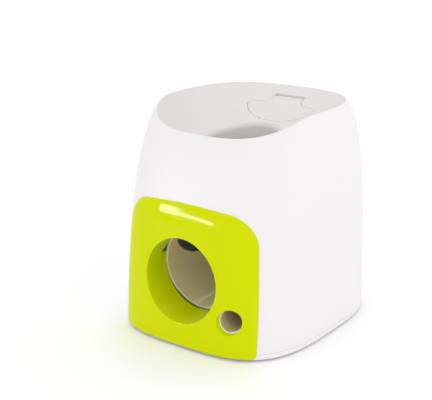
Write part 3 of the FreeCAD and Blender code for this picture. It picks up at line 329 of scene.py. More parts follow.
FINISHES: dict[Slot, MouldedPlastic | DrawnSteel | Rubber] = {
    Slot.WHITE_SHELL: MouldedPlastic(
        "satin_white_shell", (0.830, 0.807, 0.817), (0.824, 0.801, 0.812), roughness=0.46,
        polish_swing=0.04, peel_depth=0.000005, peel_scale=520.0, flow_scale=9.0, shine=0.08),
    # The dish is the shell's white plastic, darkened and tinted pink as painted shade.
    Slot.WHITE_DISH: MouldedPlastic(
        "satin_white_dish_painted_shade", (0.762, 0.722, 0.725), (0.750, 0.710, 0.713), roughness=0.42,
        polish_swing=0.05, peel_depth=0.000006, peel_scale=520.0, flow_scale=9.0, shine=0.08),
    Slot.LIME_PANEL: MouldedPlastic(
        "glossy_lime_panel", (0.622, 0.698, 0.001), (0.610, 0.687, 0.001), roughness=0.06,
        polish_swing=0.01, peel_depth=0.000002, peel_scale=300.0, flow_scale=11.0, shine=0.05),
    # The ways are white plastic: their warm browns are painted shade, the deep brown is deeper painted shade
    # and the near-white is painted light on the edges.
    Slot.WHITE_WAY: MouldedPlastic(
        "glossy_white_way_painted_shade", (0.76, 0.66, 0.42), (0.72, 0.62, 0.39), roughness=0.34,
        polish_swing=0.06, peel_depth=0.000008, flow_scale=16.0, shine=0.10,
        painted_shade_colour=(0.42, 0.34, 0.19), painted_lit_colour=(0.88, 0.86, 0.84)),
    Slot.CLEAR_STORE: MouldedPlastic(
        "frosted_store", (0.74, 0.76, 0.77), (0.69, 0.71, 0.72), roughness=0.48,
        polish_swing=0.10, peel_depth=0.00003, peel_scale=700.0, flow_scale=18.0, grain_depth=0.00001),
    Slot.GREY_CASING: MouldedPlastic(
        "grained_grey_casing", (0.33, 0.34, 0.35), (0.29, 0.30, 0.31), roughness=0.55,
        polish_swing=0.10, peel_depth=0.00004, peel_scale=800.0, flow_scale=20.0, grain_depth=0.00002),
    Slot.DARK_BRACKET: MouldedPlastic(
        "grained_dark_bracket", (0.055, 0.056, 0.060), (0.045, 0.046, 0.050), roughness=0.58,
        polish_swing=0.10, peel_depth=0.00004, peel_scale=800.0, flow_scale=20.0, grain_depth=0.00002),
    Slot.NATURAL_DRUM: MouldedPlastic(
        "natural_acetal", (0.78, 0.76, 0.70), (0.74, 0.72, 0.66), roughness=0.36,
        peel_scale=600.0, flow_scale=24.0),
    Slot.BLUE_PADDLE: MouldedPlastic(
        "slate_blue_paddle", (0.10, 0.19, 0.31), (0.08, 0.16, 0.27), roughness=0.42,
        polish_swing=0.10, peel_depth=0.00003, peel_scale=600.0, flow_scale=22.0),
    Slot.STEEL: DrawnSteel("bright_steel", (0.62, 0.62, 0.61), (0.52, 0.52, 0.52)),
    Slot.SPRING_STEEL: DrawnSteel("spring_wire", (0.46, 0.46, 0.47), (0.36, 0.36, 0.37), 0.36),
    Slot.SCREW_STEEL: DrawnSteel("zinc_plated_screws", (0.60, 0.60, 0.57), (0.50, 0.51, 0.50), 0.34),
    Slot.BLACK_RUBBER: Rubber("black_rubber", (0.018, 0.018, 0.019), (0.12, 0.12, 0.12)),
}


# ---------------------------------------------------------------- mesh tools


def stack(*coordinates: Array | float) -> Array:
    """Three coordinate arrays as one array of points."""
    return np.stack(np.broadcast_arrays(*coordinates), axis=-1).astype(float)


def ring_faces(rows: int, columns: int, closed_rows: bool) -> Array:
    """Quads of a grid whose columns run round a loop.

    Args:
        rows: loops in the grid.
        columns: points in a loop.
        closed_rows: whether the last loop joins the first.

    Returns:
        Corner numbers, four to a face.
    """
    row = np.arange(rows if closed_rows else rows - 1)[:, None]
    column = np.arange(columns)[None, :]
    after_row, after_column = (row + 1) % rows, (column + 1) % columns
    corners = [row * columns + column, row * columns + after_column,
               after_row * columns + after_column, after_row * columns + column]
    return np.stack([np.broadcast_to(c, (len(row), columns)) for c in corners], axis=-1).reshape(-1, 4)


def add_object(name: str, mesh: bpy.types.Mesh) -> bpy.types.Object:
    """Puts a mesh into the scene."""
    made = bpy.data.objects.new(name, mesh)
    bpy.context.scene.collection.objects.link(made)
    return made


def solid_of_loops(name: str, loops: Array, closed: bool) -> bpy.types.Object:
    """Closed mesh from a pile of loops.

    Args:
        name: name of the object.
        loops: points as (loop, column, 3). The loops wind anticlockwise seen from outside the last one.
        closed: whether the last loop joins the first. If not, both ends are closed with flat faces.

    Returns:
        The new object, with its faces turned outwards.
    """
    rows, columns = loops.shape[:2]
    faces = ring_faces(rows, columns, closed).tolist()
    if not closed:
        faces += [list(range(columns))[::-1], list(range((rows - 1) * columns, rows * columns))]
    mesh = bpy.data.meshes.new(name)
    mesh.from_pydata(loops.reshape(-1, 3).tolist(), [], faces)
    mesh.validate()
    made = add_object(name, mesh)
    turn_outwards(made)
    return made


def turn_outwards(made: bpy.types.Object) -> None:
    """Turns a closed mesh inside out if its volume comes out negative."""
    mesh = made.data
    mesh.calc_loop_triangles()
    corners = np.empty(len(mesh.loop_triangles) * 3, np.int32)
    mesh.loop_triangles.foreach_get("vertices", corners)
    points = np.empty(len(mesh.vertices) * 3)
    mesh.vertices.foreach_get("co", points)
    a, b, c = points.reshape(-1, 3)[corners.reshape(-1, 3)].transpose(1, 0, 2)
    if np.einsum("ij,ij->i", a, np.cross(b, c)).sum() < 0:
        mesh.flip_normals()


def bake_modifiers(made: bpy.types.Object) -> None:
    """Replaces a mesh by what its modifiers make of it."""
    graph = bpy.context.evaluated_depsgraph_get()
    mesh = bpy.data.meshes.new_from_object(made.evaluated_get(graph))
    made.modifiers.clear()
    old = made.data
    made.data = mesh
    bpy.data.meshes.remove(old)
    mesh.name = made.name


def carve(body: bpy.types.Object, tool: bpy.types.Object, cut: Cut, keep_tool: bool = False) -> None:
    """Combines two closed meshes and leaves the result in the first.

    Args:
        body: the mesh that changes.
        tool: the mesh it is cut or joined with.
        cut: how they are combined.
        keep_tool: whether the tool stays for another cut.
    """
    modifier = body.modifiers.new(cut.value, "BOOLEAN")
    modifier.operation = cut.value
    modifier.solver = "MANIFOLD"
    modifier.object = tool
    bake_modifiers(body)
    if not keep_tool:
        drop(tool)


def drop(made: bpy.types.Object) -> None:
    """Removes an object and its mesh."""
    mesh = made.data
    bpy.data.objects.remove(made)
    bpy.data.meshes.remove(mesh)


def soften(made: bpy.types.Object, crease_degrees: float = 32.0) -> None:
    """Smooth shading that stays sharp over creases."""
    made.data.shade_smooth()
    made.data.set_sharp_from_angle(angle=math.radians(crease_degrees))


def paint_way_light_and_shade(made: bpy.types.Object, inside: float) -> None:
    """Marks the faces of a way for painted light and shade: those that look forwards, or up and back, get 1
    (painted light) and all others a lower number (painted shade).

    Args:
        made: the pipe or chute.
        inside: 0 for the deep painted shade colour and 0.5 for the plain painted shade.
    """
    normals = np.empty(len(made.data.polygons) * 3)
    made.data.polygons.foreach_get("normal", normals)
    marks = made.data.attributes.new(PAINTED_LIGHT_MARK, "FLOAT", "FACE")
    _, back, up = normals.reshape(-1, 3).T
    edges = (back < -0.8) | ((back > 0.3) & (up > 0.3))
    marks.data.foreach_set("value", np.where(edges, 1.0, inside).astype(np.float32))


def weigh_normals(made: bpy.types.Object) -> None:
    """Lets large faces lead the shading, so that slivers beside a cut don't show."""
    modifier = made.modifiers.new("even_shading", "WEIGHTED_NORMAL")
    modifier.keep_sharp = True
    bake_modifiers(made)


# ---------------------------------------------------------------- the body's form


@dataclass(frozen=True)
class BodyForm:
    """Outer form of the body: a rounded square that tapers upwards, with a rim that sweeps up to the back."""

    half_width: float = 0.098
    front_depth: float = 0.110
    back_depth: float = 0.112
    side_flare: float = 0.013
    side_taper: float = 0.105
    front_flare: float = -0.07
    front_taper: float = 0.20
    back_flare: float = -0.012
    back_taper: float = 0.143
    base_squareness: float = 3.30
    rim_squareness: float = 2.74
    front_rim: float = 0.1862
    back_rim: float = 0.2129
    sweep_start: float = -0.1074
    sweep_end: float = -0.0152
    lip_roll: float = 0.0045
    lip_sharpness: float = 16.0
    foot_rise: float = 0.002
    wall: float = 0.0026
    base_edge: float = 0.0053
    edge_seam: float = 0.00025
    passes: int = 14

    def rim_height(self, y: Array) -> Array:
        """Height of the rim over the feet's plane less foot_rise: level, a smooth sweep, level again."""
        share = np.clip((y - self.sweep_start) / (self.sweep_end - self.sweep_start), 0.0, 1.0)
        return self.front_rim + (self.back_rim - self.front_rim) * share**2 * (3 - 2 * share)

    def reach_at(self, angle: Array, share: Array, inset: Array | float) -> Array:
        """Distance from the middle to the wall: a superellipse whose sizes and power change with the height.

        Args:
            angle: direction round the middle, in radians.
            share: height as a share of the rim's height there.
            inset: how far the surface lies inside the outer skin.

        Returns:
            The distances.
        """
        near_top = np.where(share <= 1, np.minimum(share, 1.0) ** self.lip_sharpness,
                            1 + self.lip_sharpness * (share - 1))
        roll = self.lip_roll * near_top + inset
        width = self.half_width * (1 + self.side_flare * share - self.side_taper * share**4) - roll
        front = self.front_depth * (1 + self.front_flare * share - self.front_taper * share**4)
        back = self.back_depth * (1 + self.back_flare * share - self.back_taper * share**4)
        depth = np.where(np.sin(angle) < 0, front, back) - roll
        power = self.base_squareness + (self.rim_squareness - self.base_squareness) * share
        across = np.abs(np.cos(angle)) / width
        along = np.abs(np.sin(angle)) / depth
        return (across**power + along**power) ** (-1 / power)

    def share_at(self, angle: Array, height: Array | float, inset: Array | float) -> Array:
        """Share of the rim's height that a level height is, found by repeated substitution."""
        reach = np.full(np.shape(angle), self.half_width)
        share = np.zeros(np.shape(angle))
        for _ in range(self.passes):
            share = height / self.rim_height(reach * np.sin(angle))
            reach = self.reach_at(angle, share, inset)
        return share

    def skin(self, angle: Array, share: Array, inset: Array | float = 0.0) -> Array:
        """Points of the skin: the reach in a direction, at a share of the rim's height there."""
        reach = self.reach_at(angle, share, inset)
        y = reach * np.sin(angle)
        return stack(reach * np.cos(angle), y, share * self.rim_height(y) + self.foot_rise)

    def level_ring(self, angle: Array, height: float, inset: float) -> Array:
        """Points of the skin at one height over the body's lower edge."""
        return self.skin(angle, self.share_at(angle, height, inset), inset)

    def front_wall(self, x: Array, height: Array, inset: Array | float) -> Array:
        """Y of the front wall at places across it, found by repeated substitution.

        Args:
            x: place across the front.
            height: height over the body's lower edge.
            inset: how far inside the outer skin, negative for proud of it.

        Returns:
            The wall's y.
        """
        y = np.full(np.broadcast(x, height).shape, -self.front_depth)
        for _ in range(self.passes):
            share = height / self.rim_height(y)
            roll = self.lip_roll * share**self.lip_sharpness + inset
            width = self.half_width * (1 + self.side_flare * share - self.side_taper * share**4) - roll
            depth = self.front_depth * (1 + self.front_flare * share - self.front_taper * share**4) - roll
            power = self.base_squareness + (self.rim_squareness - self.base_squareness) * share
            y = -depth * (1 - (np.abs(x) / width) ** power) ** (1 / power)
        return y


def turn(columns: int) -> Array:
    """Directions round the middle, evenly spaced, from the back."""
    return math.pi / 2 + 2 * math.pi * np.arange(columns) / columns


def bezier(points: Sequence[Array], shares: Array) -> Array:
    """Cubic curve between whole loops.

    Args:
        points: four loops: start, two handles and end.
        shares: places along the curve, from 0 to 1.

    Returns:
        One loop for each share: the four loops weighted by the Bernstein polynomials.
    """
    t = shares[:, None, None]
    a, b, c, d = points
    return a * (1 - t) ** 3 + 3 * b * t * (1 - t) ** 2 + 3 * c * t**2 * (1 - t) + d * t**3


# ---------------------------------------------------------------- panel outline


@dataclass(frozen=True)
class PanelOutline:
    """Outline of the green panel: nearly upright sides, small lower corners, large upper ones, bowed top."""

    bottom: float = 0.0008
    top: float = 0.1350
    top_bow: float = 0.383
    low_half: float = 0.0754
    mid_half: float = 0.0751
    top_half: float = 0.0729
    low_corner: float = 0.0045
    top_corner: float = 0.0315
    prism_near: float = -0.16
    prism_far: float = -0.05

    def half_curve(self, inset: float) -> Array:
        """Right half from the middle of the bottom to the middle of the top.

        The corners are parts of circles, the side is the parabola through its three widths and the top is
        part of a large circle that the upper corner meets smoothly. An inset moves the runs in and makes the
        corners' circles smaller, down to a small one.
        """
        low = max(self.low_corner - inset, self.low_corner / 4)
        corner, bow = self.top_corner - inset, self.top_bow - inset
        bottom, low_half, top_half = self.bottom + inset, self.low_half - inset, self.top_half - inset
        across, reach = top_half - corner, bow - corner
        middle = self.top - self.top_bow
        end = middle + math.sqrt(reach**2 - across**2)
        lean = math.asin(across / reach)
        quarter = np.linspace(0, math.pi / 2, 40)
        bend = np.linspace(math.pi / 2, lean, 48)
        top = np.linspace(lean, 0, 60)[1:]
        start, share = bottom + low, np.linspace(0, 1, 60)[1:-1]
        bulge = self.mid_half - (self.low_half + self.top_half) / 2
        side = low_half + (top_half - low_half) * share + 4 * bulge * share * (1 - share)
        x = np.concatenate([[0.0], low_half - low + low * np.sin(quarter), side,
                            across + corner * np.sin(bend), bow * np.sin(top)])
        z = np.concatenate([[bottom], bottom + low - low * np.cos(quarter), start + (end - start) * share,
                            end + corner * np.cos(bend), middle + bow * np.cos(top)])
        return np.stack([x, z], axis=-1)

    def loop(self, inset: float, columns: int) -> Array:
        """Evenly spaced points (x, z) round the outline, anticlockwise seen from the front."""
        half = self.half_curve(inset)
        other = half[::-1][1:-1] * (-1, 1)
        points = np.concatenate([half, other, half[:1]])
        run = np.concatenate([[0], np.cumsum(np.linalg.norm(np.diff(points, axis=0), axis=1))])
        places = np.linspace(0, run[-1], columns, endpoint=False)
        return np.stack([np.interp(places, run, points[:, k]) for k in (0, 1)], axis=-1)

    def prism(self, name: str, inset: float, columns: int = 240) -> bpy.types.Object:
        """The outline, moved inwards, run through the front of the body."""
        loop = self.loop(inset, columns)
        near, far = (stack(loop[:, 0], y, loop[:, 1]) for y in (self.prism_near, self.prism_far))
        return solid_of_loops(name, np.stack([near, far]), closed=False)


# ---------------------------------------------------------------- housing and base


@dataclass
class Housing:
    """White moulded shell with a rounded crest, open behind the front panel."""

    form: BodyForm
    outline: PanelOutline
    columns: int = 320
    rows: int = 96
    inner_rows: int = 44
    crest_rows: int = 14
    crest_drop: float = 0.0022
    panel_rebate: float = 0.0080
    row_crowding: float = 1.5
    crest_peak: float = 0.75

    def build(self) -> bpy.types.Object:
        """The shell as one closed surface: outer skin, rounded crest, inner skin and bottom edge."""
        form = self.form
        angle = turn(self.columns)
        edge = form.base_edge + form.edge_seam
        crest_y = form.reach_at(angle, np.ones(self.columns), 0.0) * np.sin(angle)
        top_share = 1 - self.crest_drop / form.rim_height(crest_y)
        rise = 1 - (1 - np.linspace(0, 1, self.rows)[:, None]) ** self.row_crowding
        outer = self._wall(angle, edge, top_share, rise, 0.0)
        inner = self._wall(angle, edge, top_share, np.linspace(1, 0, self.inner_rows)[:, None], form.wall)
        crest = bezier(self._crest_handles(angle, outer, inner), np.linspace(0, 1, self.crest_rows + 2)[1:-1])
        shell = solid_of_loops("housing_shell", np.concatenate([outer, crest, inner]), closed=True)
        carve(shell, self.outline.prism("panel_opening", self.panel_rebate), Cut.REMOVE)
        soften(shell, 50.0)
        return shell

    def _wall(self, angle: Array, edge: float, top: Array, rise: Array, inset: float) -> Array:
        """Rows of one skin, from the lower edge at rise 0 to just under the crest at rise 1."""
        low = self.form.share_at(angle, edge, inset)
        share = low + (top - low) * rise
        return self.form.skin(np.broadcast_to(angle, share.shape), share, inset)

    def _crest_handles(self, angle: Array, outer: Array, inner: Array) -> tuple[Array, Array, Array, Array]:
        """Ends and handles of the crest's curve, set so that its top stands at the rim's height.

        The middle of a cubic between level ends stands at crest_peak of its handles' height.
        """
        start, end = outer[-1], inner[0]
        rim = self.form.rim_height(start[:, 1]) + self.form.foot_rise
        lift = ((rim - start[:, 2]) / self.crest_peak)[:, None]
        lean_out, lean_in = outer[-1] - outer[-2], inner[0] - inner[1]
        return (start, start + lean_out / lean_out[:, 2:] * lift, end + lean_in / lean_in[:, 2:] * lift, end)


@dataclass
class BasePlate:
    """Shallow tray under the housing, with a rounded lower edge and a lip that locates the housing."""

    form: BodyForm
    columns: int = 320
    floor: float = 0.0025
    edge_radius: float = 0.0014
    lip_wall: float = 0.0020
    lip_height: float = 0.0100
    chamfer: float = 0.0003
    shares: tuple[float, ...] = (0.02, 0.25, 0.5, 0.75, 0.93)

    def build(self) -> bpy.types.Object:
        """The tray as one closed pile of loops, from the middle of its underside to that of its floor."""
        form = self.form
        angle = turn(self.columns)
        radius, chamfer = self.edge_radius, self.chamfer
        turns = np.linspace(0, math.pi / 2, 7)
        loops = [form.level_ring(angle, 0.0, radius) * (share, share, 1) for share in self.shares]
        loops += [form.level_ring(angle, radius * (1 - math.cos(t)), radius * (1 - math.sin(t)))
                  for t in turns]
        gap = form.wall + form.edge_seam
        profile = [(form.base_edge - chamfer, 0.0), (form.base_edge, chamfer), (form.base_edge, gap),
                   (self.lip_height - chamfer, gap), (self.lip_height, gap + chamfer),
                   (self.lip_height, gap + self.lip_wall), (self.floor, gap + self.lip_wall)]
        loops += [form.level_ring(angle, height, inset) for height, inset in profile]
        floor = form.level_ring(angle, self.floor, gap + self.lip_wall)
        loops += [floor * (share, share, 1) for share in self.shares[::-1]]
        tray = solid_of_loops("base_tray", np.stack(loops), closed=False)
        soften(tray, 35.0)
        return tray


# ---------------------------------------------------------------- front panel


@dataclass
class FrontPanel:
    """Green panel with a pillowed edge, the ball's tube and the treat collar."""

    form: BodyForm
    outline: PanelOutline
    columns: int = 400
    proud: float = 0.0020
    back_gap: float = 0.0002
    pillow_side: float = 0.0040
    pillow_top: float = 0.0150
    pillow_power: float = 2.2
    pillow_rows: int = 20
    face_rows: int = 44
    fillet: float = 0.0007
    fillet_rows: int = 6
    exit_radius: float = 0.0396
    exit_height: float = 0.0629
    exit_slope: float = 5.7
    exit_draft: float = 1.6
    exit_end: float = -0.0768
    notch: tuple[float, float, float] = (-0.0875, 0.0755, 0.0885)
    notch_reach: float = 0.06
    notch_past: float = 0.002
    tube_edge: float = 0.0004
    tube_wall: float = 0.0026
    tube_rows: int = 14
    treat_x: float = 0.054
    treat_height: float = 0.035
    treat_radius: float = 0.0113
    treat_shift: tuple[float, float, float] = (-0.0011, 0.0, -0.0002)
    treat_depth: float = 0.0048
    treat_join: float = 0.0100
    treat_draft: float = 0.0003
    treat_fillet: float = 0.0006
    treat_lip: float = 0.006
    treat_socket: float = 0.008
    treat_socket_radius: float = 0.0130
    collar_radius: float = 0.0152
    treat_end: tuple[float, float, float] = (0.063, 0.0078985, 0.071)
    treat_columns: int = 96
    collar_start: float = 0.7

    def face(self, x: Array, height: Array, proud: Array | float) -> Array:
        """Points of the panel's face, standing proud of the housing's skin."""
        return stack(x, self.form.front_wall(x, height, -1.0 * proud), height + self.form.foot_rise)

    def ring(self, angle: Array, y: Array | float, extra: float) -> Array:
        """Upright ring of the ball's tube, which rises inwards along a slope and widens by the mould's draft.

        Args:
            angle: directions round the ring, from X.
            y: how deep each point lies.
            extra: how far outside the bore.

        Returns:
            The ring's points.
        """
        depth = y + self.form.front_depth + self.proud
        radius = self.exit_radius + extra + depth * math.tan(math.radians(self.exit_draft))
        middle = self.exit_height + self.form.foot_rise + depth * math.tan(math.radians(self.exit_slope))
        return stack(radius * np.cos(angle), y, middle + radius * np.sin(angle))

    def on_face(self, angle: Array, extra: float, proud: float) -> Array:
        """Where the tube's lines meet the panel, found by repeated substitution."""
        y = np.full(angle.shape, -self.form.front_depth)
        for _ in range(self.form.passes):
            point = self.ring(angle, y, extra)
            y = self.form.front_wall(point[:, 0], point[:, 2] - self.form.foot_rise, -proud)
        return self.ring(angle, y, extra)

    def build(self) -> bpy.types.Object:
        """The panel with its tube as one closed surface, then the treat collar joined and bored."""
        loop = self.outline.loop(0.0, self.columns)
        rows, flat = self._pillow(loop)
        angle = np.arctan2(flat[:, 1] - self.exit_height, flat[:, 0])
        mouth = self.on_face(angle, self.fillet, self.proud)
        hole = np.stack([mouth[:, 0], mouth[:, 2] - self.form.foot_rise], axis=-1)
        shares = np.linspace(0, 1, self.face_rows)[1:-1]
        rows += [self.face(*(flat + (hole - flat) * t).T, self.proud) for t in shares]
        rows.append(mouth)
        rows += self._tube(angle, mouth)
        seat = self.on_face(angle, self.tube_wall, self.back_gap)
        back = np.stack([seat[:, 0], seat[:, 2] - self.form.foot_rise], axis=-1)
        rows.append(seat)
        rows += [self.face(*(back + (loop - back) * t).T, self.back_gap) for t in np.linspace(0, 1, 16)[1:-1]]
        panel = solid_of_loops("front_panel", np.stack(rows), closed=True)
        carve(panel, self._collar(), Cut.ADD)
        carve(panel, self._treat_bore(), Cut.REMOVE)
        carve(panel, self._notches(), Cut.REMOVE)
        soften(panel, 40.0)
        weigh_normals(panel)
        return panel

    def _pillow(self, loop: Array) -> tuple[list[Array], Array]:
        """Rounded edge: a flat superellipse over the seam, wide along the top and narrow elsewhere.

        Args:
            loop: the outline's points.

        Returns:
            The edge's rows and where the flat face starts.
        """
        ahead = unit(np.roll(loop, -1, axis=0) - np.roll(loop, 1, axis=0))
        inward = np.stack([-ahead[:, 1], ahead[:, 0]], axis=-1)
        upward = np.clip(-inward[:, 1], 0.0, 1.0) ** 3
        width = (self.pillow_side + (self.pillow_top - self.pillow_side) * upward)[:, None]
        bend = np.linspace(0, math.pi / 2, self.pillow_rows)
        shift = 1 - np.cos(bend) ** (2 / self.pillow_power)
        rise = self.back_gap + (self.proud - self.back_gap) * np.sin(bend) ** (2 / self.pillow_power)
        places = [loop + inward * width * step for step in shift]
        rows = [self.face(place[:, 0], place[:, 1], height) for place, height in zip(places, rise)]
        return rows, places[-1]

    def _tube(self, angle: Array, mouth: Array) -> list[Array]:
        """Rounded mouth, bore of the tube to its end, and its outside."""
        corner = self.on_face(angle, 0.0, self.proud)
        inside = self.ring(angle, corner[:, 1] + self.fillet, 0.0)
        shares = np.linspace(0, 1, self.fillet_rows + 1)[1:]
        rows = [mouth * (1 - t) ** 2 + 2 * corner * t * (1 - t) + inside * t**2 for t in shares]
        edge = self.tube_edge
        end = self.ring(angle, self.exit_end - edge, 0.0)
        rows += [inside + (end - inside) * t for t in np.linspace(0, 1, self.tube_rows)[1:]]
        rows += [self.ring(angle, self.exit_end, edge),
                 self.ring(angle, self.exit_end, self.tube_wall - edge),
                 self.ring(angle, self.exit_end - edge, self.tube_wall)]
        return rows

    def _notches(self) -> bpy.types.Object:
        """Cutter for the notches in both sides of the tube's inner end."""
        front, low, high = self.notch
        rise, back = self.form.foot_rise, self.exit_end + self.notch_past
        y, z = np.array([front, back, back]), np.array([low + rise, low + rise, high + rise])
        sides = [stack(x, y, z) for x in (-self.notch_reach, self.notch_reach)]
        return solid_of_loops("tube_notches", np.stack(sides), closed=False)

    def treat_frame(self) -> tuple[Array, Array, Array, Array]:
        """Start and three directions of the treat way: along it, across it and up."""
        x, height = np.array([self.treat_x]), np.array([self.treat_height])
        start = self.face(x, height, self.proud)[0]
        end = np.array(self.treat_end) + (0, 0, self.form.foot_rise)
        along = (end - start) / np.linalg.norm(end - start)
        across = np.cross(along, (0.0, 0.0, 1.0))
        across /= np.linalg.norm(across)
        return start, along, across, np.cross(across, along)

    def treat_ring(self, angle: Array, radius: Array | float, distance: Array | float) -> Array:
        """Ring round the treat way at a distance behind the panel's face."""
        start, along, across, up = self.treat_frame()
        ring = np.cos(angle)[:, None] * across + np.sin(angle)[:, None] * up
        radius, distance = (np.broadcast_to(v, angle.shape)[:, None] for v in (radius, distance))
        return start + ring * radius + distance * along

    def _collar(self) -> bpy.types.Object:
        """Bar behind the panel that becomes the treat collar."""
        angle = turn(self.treat_columns)
        depth = self._face_distance(angle, self.collar_radius) + self.proud * self.collar_start
        end = self.treat_lip + self.treat_socket
        rings = [self.treat_ring(angle, self.collar_radius, place) for place in (depth, end)]
        return solid_of_loops("treat_collar", np.stack(rings), closed=False)

    def way_ring(self, angle: Array, radius: float, depth: float) -> Array:
        """Ring round the treat way whose points all lie equally far behind the face.

        Near the face its middle lies beside the pipe's, which it joins at treat_join.
        """
        shift = np.array(self.treat_shift) * max(0.0, 1 - depth / self.treat_join)
        distance = self._face_distance(angle, radius, shift) + depth
        return self.treat_ring(angle, radius, distance) + shift

    def _face_distance(self, angle: Array, radius: float, shift: Array | float = 0.0) -> Array:
        """How far along the treat way each line of a ring, moved sideways, meets the panel's face."""
        distance = np.zeros(angle.shape)
        along = self.treat_frame()[1]
        for _ in range(self.form.passes):
            point = self.treat_ring(angle, radius, distance) + shift
            wall = self.form.front_wall(point[:, 0], point[:, 2] - self.form.foot_rise, -self.proud)
            distance = distance + (wall - point[:, 1]) / along[1]
        return distance

    def _treat_bore(self) -> bpy.types.Object:
        """Cutter for the treat hole: a flare that rounds its edge, the lip's bore and the pipe's socket."""
        angle = turn(self.treat_columns)
        radius, fillet = self.treat_radius, self.treat_fillet
        rows = [self.way_ring(angle, radius + 3 * fillet, -2 * fillet)]
        for bend in np.linspace(0, math.pi / 2, self.fillet_rows):
            wide, deep = fillet * (1 - math.sin(bend)), fillet * (1 - math.cos(bend))
            rows.append(self.way_ring(angle, radius + wide, deep))
        rows += [self.way_ring(angle, radius + self.treat_draft, self.treat_depth),
                 self.way_ring(angle, self.treat_socket_radius, self.treat_depth),
                 self.way_ring(angle, self.treat_socket_radius, self.treat_join),
                 self.treat_ring(angle, self.treat_socket_radius, 4 * self.treat_lip)]
        return solid_of_loops("treat_bore", np.stack(rows), closed=False)


@dataclass
class TreatPipe:
    """White pipe of the treats, whose front end follows the panel's face just behind the lip."""

    panel: FrontPanel
    bore: float = 0.0104
    outside: float = 0.0129
    end_gap: float = 0.0001
    edge: float = 0.0003
    sleeve: float = 0.0025
    cut_radius: float = 0.0160

    def build(self, pipe: bpy.types.Object) -> bpy.types.Object:
        """Gives the pipe its shaped front end.

        Args:
            pipe: the pipe with a flat end.

        Returns:
            The same piece.
        """
        angle, ring = turn(self.panel.treat_columns), self.panel.way_ring
        start, join = self.panel.treat_depth + self.end_gap, self.panel.treat_join
        cutter = [ring(angle, self.cut_radius, depth) for depth in (-join, join + self.end_gap)]
        carve(pipe, solid_of_loops("pipe_end_cutter", np.stack(cutter), closed=False), Cut.REMOVE)
        outer = [(self.outside, join + self.sleeve), (self.outside, join), (self.outside, start + self.edge),
                 (self.outside - self.edge, start)]
        inner = [(self.bore + self.edge, start), (self.bore, start + self.edge), (self.bore, join),
                 (self.bore, join + self.sleeve)]
        rows = [ring(angle, radius, depth) for radius, depth in outer + inner]
        carve(pipe, solid_of_loops("pipe_end", np.stack(rows), closed=True), Cut.ADD)
        soften(pipe, 35.0)
        return pipe


# ---------------------------------------------------------------- dish and lid


